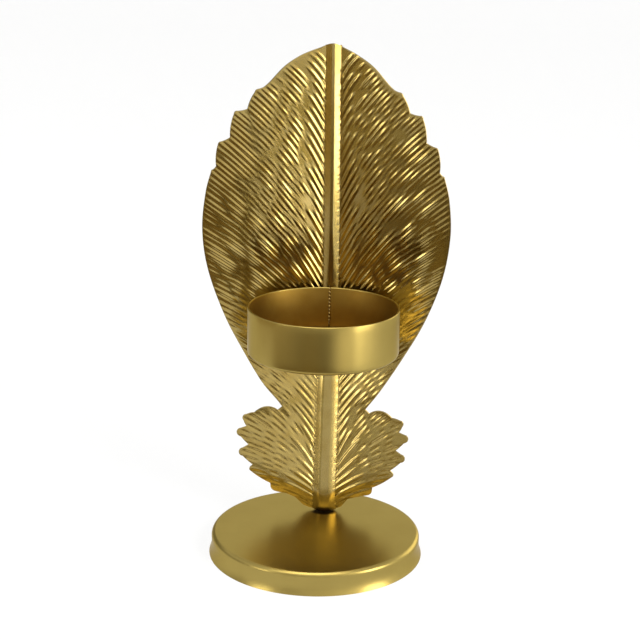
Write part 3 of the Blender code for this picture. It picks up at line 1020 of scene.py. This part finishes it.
@dataclass
class Leaf:
    """The leaf: one pressed sheet with a rolled edge, its veins raised by a node tree."""

    form: LeafForm = field(default_factory=LeafForm)
    strokes: VeinStrokes = field(default_factory=VeinStrokes)
    stroke_height: float = 0.25 * MM
    stroke_fullness: float = 1.5
    unevenness: float = 0.25
    # Waves in the noise that makes the strokes uneven, per metre: 0.7 in each millimetre
    unevenness_scale: float = 700.0
    waviness: float = 0.10 * MM
    wave_size: float = 11.0 * MM
    wave_slice: float = 3.1
    wave_run: float = 6.0 * MM
    rib_columns: tuple[float, ...] = (0.0, 0.62, 0.93, 1.07, 1.4, 1.75, 1.94)
    first_column: float = 0.012
    vein_columns: int = 27
    column_drift: float = 0.06
    lip_insets: Triple = (0.30 * MM, 0.05 * MM, 0.0)
    lip_thinning: float = 0.96
    crease: float = math.radians(75.0)

    def columns(self) -> np.ndarray:
        """Place the columns along the veins.

        Returns:
            Their shares of the way from the midrib's foot to the margin.
        """
        even = np.linspace(0.0, 1.0, self.vein_columns)[1:-1]
        veins = even + self.column_drift * np.sin(2 * math.pi * even) / math.pi
        return np.concatenate(((self.first_column,), veins))

    def half(self, side: Side) -> tuple[np.ndarray, np.ndarray, np.ndarray]:
        """Form one half of the sheet.

        Args:
            side: The half.

        Returns:
            The middle surface, the way to its front and the flat drawing, by row and column.
        """
        flat = self.form.grid(side, np.array(self.rib_columns), self.columns())
        margin = self.form.grid(side, np.array(()), np.array((1.0 - 1e-6, 1.0)))
        outward = margin[:, 1] - flat[:, -1]
        outward /= np.maximum(np.linalg.norm(outward, axis=1), 1e-9)[:, None]
        lip = [margin[:, 1] - outward * inset for inset in self.lip_insets]
        flat = np.concatenate([flat, np.stack(lip, axis=1)], axis=1)
        u, z = flat[..., 0], flat[..., 1]
        wave = np.zeros_like(u)
        for index in np.ndindex(u.shape):
            wave[index] = noise.noise((side.value * u[index] / self.wave_size, self.wave_slice,
                                       z[index] / self.wave_size))
        hold = np.clip(u / self.wave_run, 0.0, 1.0)
        surface = np.stack([UPPER_OFFSET + side.value * u,
                            self.form.depth(u, z) + self.waviness * wave * hold, z], axis=-1)
        normal = np.cross(np.gradient(surface, axis=1), np.gradient(surface, axis=0))
        normal /= np.maximum(np.linalg.norm(normal, axis=-1), 1e-12)[..., None]
        normal *= -np.sign(normal[..., 1:2])
        normal[:, 0, 0] = 0.0
        drawing = np.stack([side.value * u, np.zeros_like(u), z], axis=-1)
        return surface, normal, drawing

    def sheet(self) -> Mesh:
        """Join the halves and close the sheet round its edge.

        Returns:
            Its mesh, with each point's place on the drawing and the way that it is pressed.
        """
        left, right = self.half(Side.LEFT), self.half(Side.RIGHT)
        surface, normal, drawing = (np.concatenate([one[:, :0:-1], other], axis=1)
                                    for one, other in zip(left, right))
        rows, columns = surface.shape[:2]
        last = columns - 1
        lift = np.full((rows, columns), self.form.sheet / 2)
        lift[:, (1, last - 1)] = self.form.sheet / 2 * self.lip_thinning
        front = surface + normal * lift[..., None]
        back = surface - normal * lift[..., None]
        front[:, (0, last)] = surface[:, (0, last)]
        front_index = np.arange(rows * columns).reshape(rows, columns)
        back_index = front_index.copy()
        back_index[:, 1:last] = rows * columns + np.arange(rows * (columns - 2)).reshape(rows, columns - 2)
        quads = []
        for index, turn in ((front_index, 1), (back_index, -1)):
            corners = np.stack([index[:-1, :-1], index[:-1, 1:], index[1:, 1:], index[1:, :-1]], axis=-1)
            quads.append(corners.reshape(-1, 4)[:, ::turn])
        for row, turn in ((0, -1), (rows - 1, 1)):
            strip = np.stack([front_index[row, :-1], front_index[row, 1:],
                              back_index[row, 1:], back_index[row, :-1]], axis=-1)
            quads.append(strip[:, ::turn])
        faces = [tuple(dict.fromkeys(q)) for q in np.concatenate(quads).tolist()]
        places, ways, drawn = (np.concatenate([one.reshape(-1, 3), other[:, 1:last].reshape(-1, 3)])
                               for one, other in ((front, back), (normal, normal), (drawing, drawing)))
        mesh = bpy.data.meshes.new("leaf_sheet")
        mesh.from_pydata(places.tolist(), [], faces)
        for name, values in (("press_way", ways), ("drawing", drawn)):
            layer = mesh.attributes.new(name, "FLOAT_VECTOR", "POINT")
            layer.data.foreach_set("vector", values.astype(np.float32).ravel())
        mesh.validate()
        return mesh

    def press_tree(self) -> tuple[NodeTree, dict[str, str]]:
        """Build the tree that presses the strokes through both skins of the sheet.

        Returns:
            The tree and each input's identifier by name.
        """
        tree, given, identifiers = new_tree("press_vein_strokes", {
            "Strokes": "NodeSocketObject", "Height": "NodeSocketFloat",
            "Unevenness": "NodeSocketFloat", "Material": "NodeSocketMaterial"})
        node = partial(add_node, tree)
        lines = node("GeometryNodeObjectInfo", {"transform_space": "RELATIVE"},
                     {"Object": given["Strokes"]}).outputs["Geometry"]
        drawing, way = (node("GeometryNodeInputNamedAttribute", {"data_type": "FLOAT_VECTOR"},
                             {"Name": name}).outputs["Attribute"] for name in ("drawing", "press_way"))
        near = node("GeometryNodeProximity", {"target_element": "EDGES"},
                    {0: lines, "Sample Position": drawing}).outputs["Distance"]
        index = node("GeometryNodeSampleNearest", {"domain": "POINT"},
                     {"Geometry": lines, "Sample Position": drawing})
        sampled = []
        for name in ("half_width", "height"):
            value = node("GeometryNodeInputNamedAttribute", {"data_type": "FLOAT"},
                         {"Name": name}).outputs["Attribute"]
            sampled.append(node("GeometryNodeSampleIndex", {"data_type": "FLOAT", "domain": "POINT"},
                                {"Geometry": lines, "Value": value, "Index": index}).outputs["Value"])
        flutter = node("ShaderNodeTexNoise", None, {
            "Vector": drawing, "Scale": self.unevenness_scale, "Detail": 1.0}).outputs["Fac"]
        values = {"near": near, "half_width": sampled[0], "height": sampled[1], "flutter": flutter,
                  "unevenness": given["Unevenness"], "full_height": given["Height"]}
        for name, operation, terms in (
                ("ratio", "DIVIDE", ("near", "half_width")),
                ("square", "MULTIPLY", ("ratio", "ratio")),
                ("left", "SUBTRACT", (1.0, "square")),
                ("inside", "MAXIMUM", ("left", 0.0)),
                ("profile", "POWER", ("inside", self.stroke_fullness)),
                ("deviation", "SUBTRACT", ("flutter", 0.5)),
                ("spread", "MULTIPLY", ("unevenness", 4.0)),
                ("uneven", "MULTIPLY_ADD", ("deviation", "spread", 1.0)),
                ("full", "MULTIPLY", ("profile", "height")),
                ("raised", "MULTIPLY", ("full", "uneven")),
                ("lift", "MULTIPLY", ("raised", "full_height"))):
            values[name] = node("ShaderNodeMath", {"operation": operation},
                                tuple(values.get(term, term) for term in terms))
        offset = node("ShaderNodeVectorMath", {"operation": "SCALE"}, {0: way, "Scale": values["lift"]})
        moved = node("GeometryNodeSetPosition", None, {"Geometry": given["Geometry"], "Offset": offset})
        stored = node("GeometryNodeStoreNamedAttribute", {"data_type": "FLOAT", "domain": "POINT"},
                      {"Geometry": moved, "Name": "raised", "Value": values["raised"]})
        end_tree(tree, stored, given["Material"])
        return tree, identifiers

    def build(self, material: Material) -> Object:
        """Build the leaf.

        Args:
            material: Its finish.

        Returns:
            The finished piece.
        """
        leaf = link_object("leaf_pressed_sheet", self.sheet())
        strokes = self.strokes.build(self.form)
        tree, inputs = self.press_tree()
        settle(leaf, tree, {inputs["Strokes"]: strokes, inputs["Height"]: self.stroke_height,
                            inputs["Unevenness"]: self.unevenness, inputs["Material"]: material})
        bpy.data.objects.remove(strokes, do_unlink=True)
        leaf.data.shade_smooth()
        leaf.data.set_sharp_from_angle(angle=self.crease)
        return hand_over(leaf, Slot.LEAF, "leaf_panel")


@dataclass
class Welds:
    """The weld beads: two behind the cup, one in its seam and one behind the leaf's foot."""

    form: LeafForm = field(default_factory=LeafForm)
    cup: Cup = field(default_factory=Cup)
    base: Base = field(default_factory=Base)
    cup_offset: float = 4.2 * MM
    cup_length: float = 8.5 * MM
    cup_radius: float = 0.7 * MM
    seam_radius: float = 0.36 * MM
    seam_pitch: float = 1.05 * MM
    seam_ripple: float = 0.80
    seam_tip: float = 0.9 * MM
    foot_radius: float = 0.8 * MM
    foot_half_length: float = 3.3 * MM
    pitch: float = 1.1 * MM
    ripple: float = 0.12
    round_share: float = 0.1
    end_size: float = 0.04
    # Waves in the noise that dents a bead, per metre: 0.9 in each millimetre
    lump_scale: float = 900.0
    lump_depth: float = 0.22
    step: float = 0.12 * MM
    sides: int = 14
    points: int = 25
    seed: int = 5

    def bead_tree(self) -> tuple[NodeTree, dict[str, str]]:
        """Build the tree that turns a line into a rippled bead with rounded ends.

        Returns:
            The tree and each input's identifier by name.
        """
        tree, given, identifiers = new_tree("weld_bead", {
            "Radius": "NodeSocketFloat", "Ripple Pitch": "NodeSocketFloat", "Ripple": "NodeSocketFloat",
            "Seed": "NodeSocketInt", "Material": "NodeSocketMaterial"})
        node = partial(add_node, tree)
        curve = node("GeometryNodeMeshToCurve", None, {"Mesh": given["Geometry"]})
        fine = node("GeometryNodeResampleCurve", {"mode": "LENGTH"}, {"Curve": curve, "Length": self.step})
        spline = node("GeometryNodeSplineParameter").outputs
        taper = node("GeometryNodeInputNamedAttribute", {"data_type": "FLOAT"},
                     {"Name": "swell"}).outputs["Attribute"]
        lumps = node("ShaderNodeTexNoise", {"noise_dimensions": "4D"},
                     {"Scale": self.lump_scale, "Detail": 2.0, "W": given["Seed"]}).outputs["Fac"]
        values = {"length": spline["Length"], "share": spline["Factor"], "taper": taper, "lumps": lumps,
                  "radius": given["Radius"], "pitch": given["Ripple Pitch"], "ripple": given["Ripple"]}
        for name, operation, terms in (
                ("turns", "DIVIDE", ("length", "pitch")),
                ("angle", "MULTIPLY", ("turns", math.pi)),
                ("wave", "SINE", ("angle",)),
                ("crest", "ABSOLUTE", ("wave",)),
                ("valley", "SUBTRACT", (1.0, "crest")),
                ("dip", "MULTIPLY", ("valley", "ripple")),
                ("swell", "SUBTRACT", (1.0, "dip")),
                ("rest", "SUBTRACT", (1.0, "share")),
                ("to_end", "MINIMUM", ("share", "rest")),
                ("room", "MULTIPLY", ("to_end", 1.0 / self.round_share)),
                ("held_room", "MINIMUM", ("room", 1.0)),
                ("squared", "MULTIPLY_ADD", ("held_room", 1.0 - self.end_size, self.end_size)),
                ("rounded", "SQRT", ("squared",)),
                ("even", "MULTIPLY", ("swell", "rounded")),
                ("size", "MULTIPLY", ("even", "taper")),
                ("lump", "MULTIPLY", ("lumps", -self.lump_depth)),
                ("dent", "MULTIPLY", ("lump", "radius"))):
            values[name] = node("ShaderNodeMath", {"operation": operation},
                                tuple(values.get(term, term) for term in terms))
        ring = node("GeometryNodeCurvePrimitiveCircle", {"mode": "RADIUS"},
                    {"Resolution": self.sides, "Radius": given["Radius"]})
        tube = node("GeometryNodeCurveToMesh", None, {
            "Curve": fine, "Profile Curve": ring, "Scale": values["size"], "Fill Caps": True})
        offset = node("ShaderNodeVectorMath", {"operation": "SCALE"},
                      {0: node("GeometryNodeInputNormal"), "Scale": values["dent"]})
        moved = node("GeometryNodeSetPosition", None, {"Geometry": tube, "Offset": offset})
        end_tree(tree, node("GeometryNodeSetShadeSmooth", None, {"Geometry": moved}), given["Material"])
        return tree, identifiers

    def bead(self, name: str, node: str, line: list[tuple[Triple, float]], radius: float,
             material: Material, pitch: float = 0.0, ripple: float = 0.0) -> Object:
        """Lay one bead along a line.

        Args:
            name: The piece's name.
            node: The CAD node that it stands for.
            line: Places and the swell at each.
            radius: The bead's radius where its swell is 1.
            material: Its finish.
            pitch: The ripples' pitch, if it isn't the usual one.
            ripple: Their depth as a share of the radius, if it isn't the usual one.

        Returns:
            The finished piece.
        """
        mesh = bpy.data.meshes.new(name)
        mesh.from_pydata([place for place, _ in line], [(i, i + 1) for i in range(len(line) - 1)], [])
        mesh.attributes.new("swell", "FLOAT", "POINT").data.foreach_set("value", [s for _, s in line])
        obj = link_object(name, mesh)
        tree, inputs = self.bead_tree()
        settle(obj, tree, {inputs["Radius"]: radius, inputs["Ripple Pitch"]: pitch or self.pitch,
                           inputs["Ripple"]: ripple or self.ripple, inputs["Seed"]: self.seed,
                           inputs["Material"]: material})
        return hand_over(obj, Slot.WELD, node)

    def cup_line(self, side: Side) -> list[tuple[Triple, float]]:
        """Lay the line of a bead between the cup's back and a flank of the midrib.

        Args:
            side: The leaf's half that it lies on.

        Returns:
            Places and the swell at each, which is less where the gap is narrow.
        """
        back = math.sqrt(self.cup.radius ** 2 - self.cup_offset ** 2)
        top = self.cup.rim_level - 2 * self.cup_radius
        line = []
        for share in np.linspace(0.0, 1.0, self.points):
            z = top - self.cup_length * (1.0 - share)
            front = float(self.form.depth(np.array(self.cup_offset), np.array(z))) - self.form.sheet / 2
            swell = min(1.0, ((front - back) / 2 - SEAT) / self.cup_radius)
            depth = min(back + SEAT + self.cup_radius, (back + front) / 2)
            line.append(((UPPER_OFFSET + side.value * self.cup_offset, depth, z), swell))
        return line

    def build(self, material: Material) -> list[Object]:
        """Build the four beads.

        Args:
            material: Their finish.

        Returns:
            The finished pieces.
        """
        beads = [self.bead(name + "_bead", name, self.cup_line(side), self.cup_radius, material)
                 for name, side in (("cup_weld_left", Side.LEFT), ("cup_weld_right", Side.RIGHT))]
        depth = self.cup.bore - SEAT - self.seam_radius
        ends = (self.cup.floor_level + self.cup.floor_sheet + SEAT, self.cup.rim_level + self.seam_tip)
        line = [((UPPER_OFFSET, depth, z), 1.0) for z in np.linspace(*ends, self.points)]
        beads.append(self.bead("cup_seam_bead", "cup_seam_weld", line, self.seam_radius, material,
                               self.seam_pitch, self.seam_ripple))
        level = self.base.height + SEAT + self.foot_radius
        midrib_foot = self.form.midrib_top(np.array(level)) + self.form.midrib_flank
        back = float(self.form.depth(midrib_foot, np.array(level - self.foot_radius))) + self.form.sheet / 2
        line = [((UPPER_OFFSET + x, back + SEAT + self.foot_radius, level), 1.0)
                for x in np.linspace(-self.foot_half_length, self.foot_half_length, self.points)]
        beads.append(self.bead("foot_weld_bead", "foot_weld", line, self.foot_radius, material))
        return beads


WARM_WHITE = "#fffcf4"
# The brown that the metal mirrors below the horizon, where a card's strength is 1
BROWN = "#d0b06a"


@dataclass(frozen=True)
class Card:
    """A card or soft box that only the metal sees, as a sector of a ring about the object.

    Its stops give the strength at each azimuth, in degrees from the front towards the right. It runs from
    its near radius and low level to its far radius and high level, all in metres.
    """

    name: str
    stops: tuple[Pair, ...]
    near: float
    far: float
    low: float
    high: float
    colour: str = WARM_WHITE
    column: float = 1.0
    rows: int = 6

    def build(self) -> Object:
        """Build the card, which the camera, diffuse rays and shadows don't see.

        Returns:
            The card.
        """
        material = bpy.data.materials.new(self.name)
        material.use_nodes = True
        tree = material.node_tree
        tree.nodes.clear()
        strength = add_node(tree, "ShaderNodeAttribute", {"attribute_name": "strength"}).outputs["Fac"]
        glow = add_node(tree, "ShaderNodeEmission", None,
                        {"Color": linear(self.colour), "Strength": strength})
        add_node(tree, "ShaderNodeOutputMaterial", None, {"Surface": glow})
        first, last = self.stops[0][0], self.stops[-1][0]
        columns = math.ceil((last - first) / self.column)
        azimuths = np.linspace(first, last, columns + 1)
        strengths = np.interp(azimuths, *zip(*self.stops))
        angles = np.radians(azimuths)
        places = []
        for share in np.linspace(0.0, 1.0, self.rows + 1):
            radius = self.near + (self.far - self.near) * share
            level = self.low + (self.high - self.low) * share
            places += [(radius * math.sin(a), -radius * math.cos(a), level) for a in angles]
        wide = columns + 1
        faces = [(k * wide + i, k * wide + i + 1, (k + 1) * wide + i + 1, (k + 1) * wide + i)
                 for k in range(self.rows) for i in range(columns)]
        mesh = bpy.data.meshes.new(self.name)
        mesh.from_pydata(places, [], faces)
        layer = mesh.attributes.new("strength", "FLOAT", "POINT")
        layer.data.foreach_set("value", np.tile(strengths, self.rows + 1).astype(np.float32))
        card = link_object(self.name, mesh, material)
        card.visible_camera = False
        card.visible_diffuse = False
        card.visible_shadow = False
        return card


@dataclass
class Studio:
    """The pale floor, the light and the camera, in metres."""

    floor_radius: float = 2.4
    floor_rings: tuple[float, ...] = (0.3, 1.0)
    floor_bend: float = 0.7
    floor_bend_steps: int = 12
    floor_sides: int = 96
    floor_glow: float = 0.86
    wall_height: float = 2.2
    cards: tuple[Card, ...] = (
        Card("floor_card_dark_near", (
            (-72.0, 0.34), (-26.0, 0.34), (-18.0, 0.50), (-4.0, 0.50), (4.0, 0.22), (47.0, 0.22)),
            0.085, 0.225, 0.0006, 0.0006, BROWN),
        Card("floor_card_cup", (
            (-150.0, 0.90), (-100.0, 0.95), (-86.0, 0.85), (-62.0, 1.1), (-50.0, 1.0), (-40.0, 0.80),
            (-30.0, 0.30), (-20.0, 0.04), (4.0, 0.04), (12.0, 0.20), (18.0, 0.8), (24.0, 2.0), (31.0, 3.2),
            (38.0, 3.4), (44.0, 2.4), (50.0, 0.5), (64.0, 0.1), (72.0, 0.5), (84.0, 0.8), (96.0, 0.8),
            (110.0, 0.65), (150.0, 0.50)), 0.222, 0.276, 0.0007, 0.0007),
        Card("floor_card_patch", ((17.0, 0.3), (25.0, 1.4), (33.0, 2.3), (42.0, 2.4), (48.0, 0.6)),
             0.175, 0.222, 0.0008, 0.0008),
        Card("floor_card_dark_far", (
            (-40.0, 0.34), (-26.0, 0.34), (-18.0, 0.50), (-4.0, 0.50), (4.0, 0.22), (46.0, 0.22)),
            0.277, 0.42, 0.0006, 0.0006, BROWN),
        Card("floor_card_dark_left", ((-110.0, 0.80), (-66.0, 0.75), (-58.0, 0.50), (-40.0, 0.50)),
             0.277, 0.85, 0.0006, 0.0006, BROWN),
        Card("floor_card_rib", ((52.0, 11.0), (61.0, 11.0)), 0.30, 0.50, 0.0008, 0.0008),
        Card("floor_card_key", ((57.0, 7.0), (80.0, 7.0)), 0.45, 0.80, 0.0008, 0.0008),
        Card("key_box_low", ((58.0, 9.0), (80.0, 9.0)), 0.80, 0.80, 0.0, 0.12),
        Card("key_box", ((57.0, 9.0), (80.0, 9.0)), 0.80, 0.80, 0.12, 0.50),
        Card("fill_box", ((-59.0, 6.8), (-42.0, 7.0)), 0.80, 0.80, 0.10, 0.24),
        Card("front_box", ((6.0, 1.0), (22.0, 1.15), (50.0, 1.5)), 0.80, 0.80, 0.03, 0.38),
        Card("front_flag", ((-42.0, 0.62), (-8.0, 0.70)), 0.80, 0.80, 0.0, 0.30),
        Card("side_flag", ((-118.0, 0.45), (-66.0, 0.45)), 0.80, 0.80, -0.02, 0.34),
        Card("back_box", ((116.0, 3.0), (158.0, 3.0)), 0.80, 0.80, 0.0, 0.50),
        Card("back_flag", ((-156.0, 0.35), (-118.0, 0.35)), 0.80, 0.80, 0.0, 0.50),
        Card("top_box", ((-50.0, 4.0), (50.0, 4.0)), 0.75, 0.30, 0.75, 1.00),
        Card("zenith_card", ((-180.0, 5.0), (180.0, 5.0)), 0.02, 0.28, 1.02, 1.02, column=10.0),
    )
    # Each lamp's name, place, side and power in watts
    lamps: tuple[tuple[str, Triple, float, float], ...] = (
        ("key_lamp", (0.95, -0.85, 0.70), 0.7, 26.0), ("fill_lamp", (-1.1, -0.4, 1.0), 0.9, 10.0))
    lamp_aim: Triple = (0.0, 0.0, 0.07)
    air_strength: float = 0.7
    camera_place: Triple = (0.03418, -0.40307, 0.18496)
    camera_yaw: float = math.radians(4.802)
    camera_pitch: float = math.radians(16.037)
    camera_roll: float = math.radians(0.954)
    lens: float = 85.87
    sensor: float = 36.0
    clip: Pair = (0.01, 20.0)

    def floor_paint(self) -> Material:
        """Make the floor's white paper, which looks evenly bright to the camera and in the metal.

        Returns:
            The material.
        """
        material = bpy.data.materials.new("painted_paper_white")
        material.use_nodes = True
        tree = material.node_tree
        tree.nodes.clear()
        node = partial(add_node, tree)
        rays = node("ShaderNodeLightPath").outputs
        seen = rays["Is Camera Ray"]
        for kind in ("Is Glossy Ray", "Is Transmission Ray"):
            seen = node("ShaderNodeMath", {"operation": "MAXIMUM"}, (seen, rays[kind]))
        paper = node("ShaderNodeBsdfDiffuse", None, {"Color": linear("#f4f4f2")})
        glow = node("ShaderNodeEmission", None, {"Color": linear("#ffffff"), "Strength": 1.0})
        share = node("ShaderNodeMath", {"operation": "MULTIPLY"}, (seen, self.floor_glow))
        mixed = node("ShaderNodeMixShader", None, (share, paper, glow))
        node("ShaderNodeOutputMaterial", None, {"Surface": mixed})
        return material

    def build_floor(self) -> Object:
        """Build the floor, which rises into a wall all round.

        Returns:
            The floor.
        """
        bend, sides = self.floor_bend, self.floor_sides
        profile = [(r, 0.0) for r in self.floor_rings]
        profile += arc_points((self.floor_radius - bend, bend), bend, -90.0, 0.0, self.floor_bend_steps)
        profile += [(self.floor_radius, self.wall_height)]
        angles = [math.tau * i / sides for i in range(sides)]
        mesh = bmesh.new()
        rings = [[mesh.verts.new((radius * math.cos(a), radius * math.sin(a), level)) for a in angles]
                 for radius, level in profile]
        middle = mesh.verts.new((0.0, 0.0, 0.0))
        for i in range(sides):
            k = (i + 1) % sides
            mesh.faces.new((middle, rings[0][i], rings[0][k]))
            for one, other in zip(rings, rings[1:]):
                mesh.faces.new((one[i], other[i], other[k], one[k]))
        data = bpy.data.meshes.new("studio_floor")
        mesh.to_mesh(data)
        mesh.free()
        data.shade_smooth()
        floor = link_object("studio_floor", data, self.floor_paint())
        return floor

    def build_light(self) -> None:
        """Set the world and the square soft lamps, which point at the object."""
        world = bpy.data.worlds.new("studio_air")
        bpy.context.scene.world = world
        world.use_nodes = True
        air = world.node_tree.nodes["Background"]
        air.inputs["Color"].default_value = linear("#ffffff")
        air.inputs["Strength"].default_value = self.air_strength
        for name, place, size, power in self.lamps:
            lamp = bpy.data.lights.new(name, "AREA")
            lamp.shape = "SQUARE"
            lamp.size = size
            lamp.energy = power
            obj = link_object(name, lamp)
            obj.location = place
            obj.rotation_euler = (Vector(self.lamp_aim) - Vector(place)).to_track_quat("-Z", "Y").to_euler()
            obj.visible_glossy = False

    def build_camera(self) -> None:
        """Set the camera where the photograph was taken from."""
        yaw, pitch, roll = self.camera_yaw, self.camera_pitch, self.camera_roll
        ahead = Vector((-math.sin(yaw) * math.cos(pitch), math.cos(yaw) * math.cos(pitch), -math.sin(pitch)))
        right = Vector((math.cos(yaw), math.sin(yaw), 0.0))
        up = right.cross(ahead)
        turned_right = right * math.cos(roll) + up * math.sin(roll)
        turned_up = up * math.cos(roll) - right * math.sin(roll)
        matrix = Matrix((turned_right, turned_up, -ahead)).transposed().to_4x4()
        matrix.translation = Vector(self.camera_place)
        data = bpy.data.cameras.new("photo_camera")
        data.lens = self.lens
        data.sensor_width = self.sensor
        data.clip_start, data.clip_end = self.clip
        camera = link_object("photo_camera", data)
        camera.matrix_world = matrix
        bpy.context.scene.camera = camera

    def build(self) -> None:
        """Build the whole stage."""
        self.build_floor()
        for card in self.cards:
            card.build()
        self.build_light()
        self.build_camera()
        bpy.context.scene.view_settings.view_transform = "Standard"
        LOG.info("studio: %d cards", len(self.cards))


def main() -> None:
    """Build the candlestick and its studio."""
    logging.basicConfig(level=logging.INFO, format="%(name)s: %(message)s")
    pressed, satin, weld, inner = (finish.make() for finish in (
        PRESSED_BRASS, SATIN_BRASS, WELD_BRASS, INNER_BRASS_SHADED))
    Base().build(satin)
    cup = Cup()
    cup.build_band(satin, inner)
    cup.build_floor(inner)
    Leaf().build(pressed)
    Welds().build(weld)
    Studio().build()


if __name__ == "__main__":
    main()
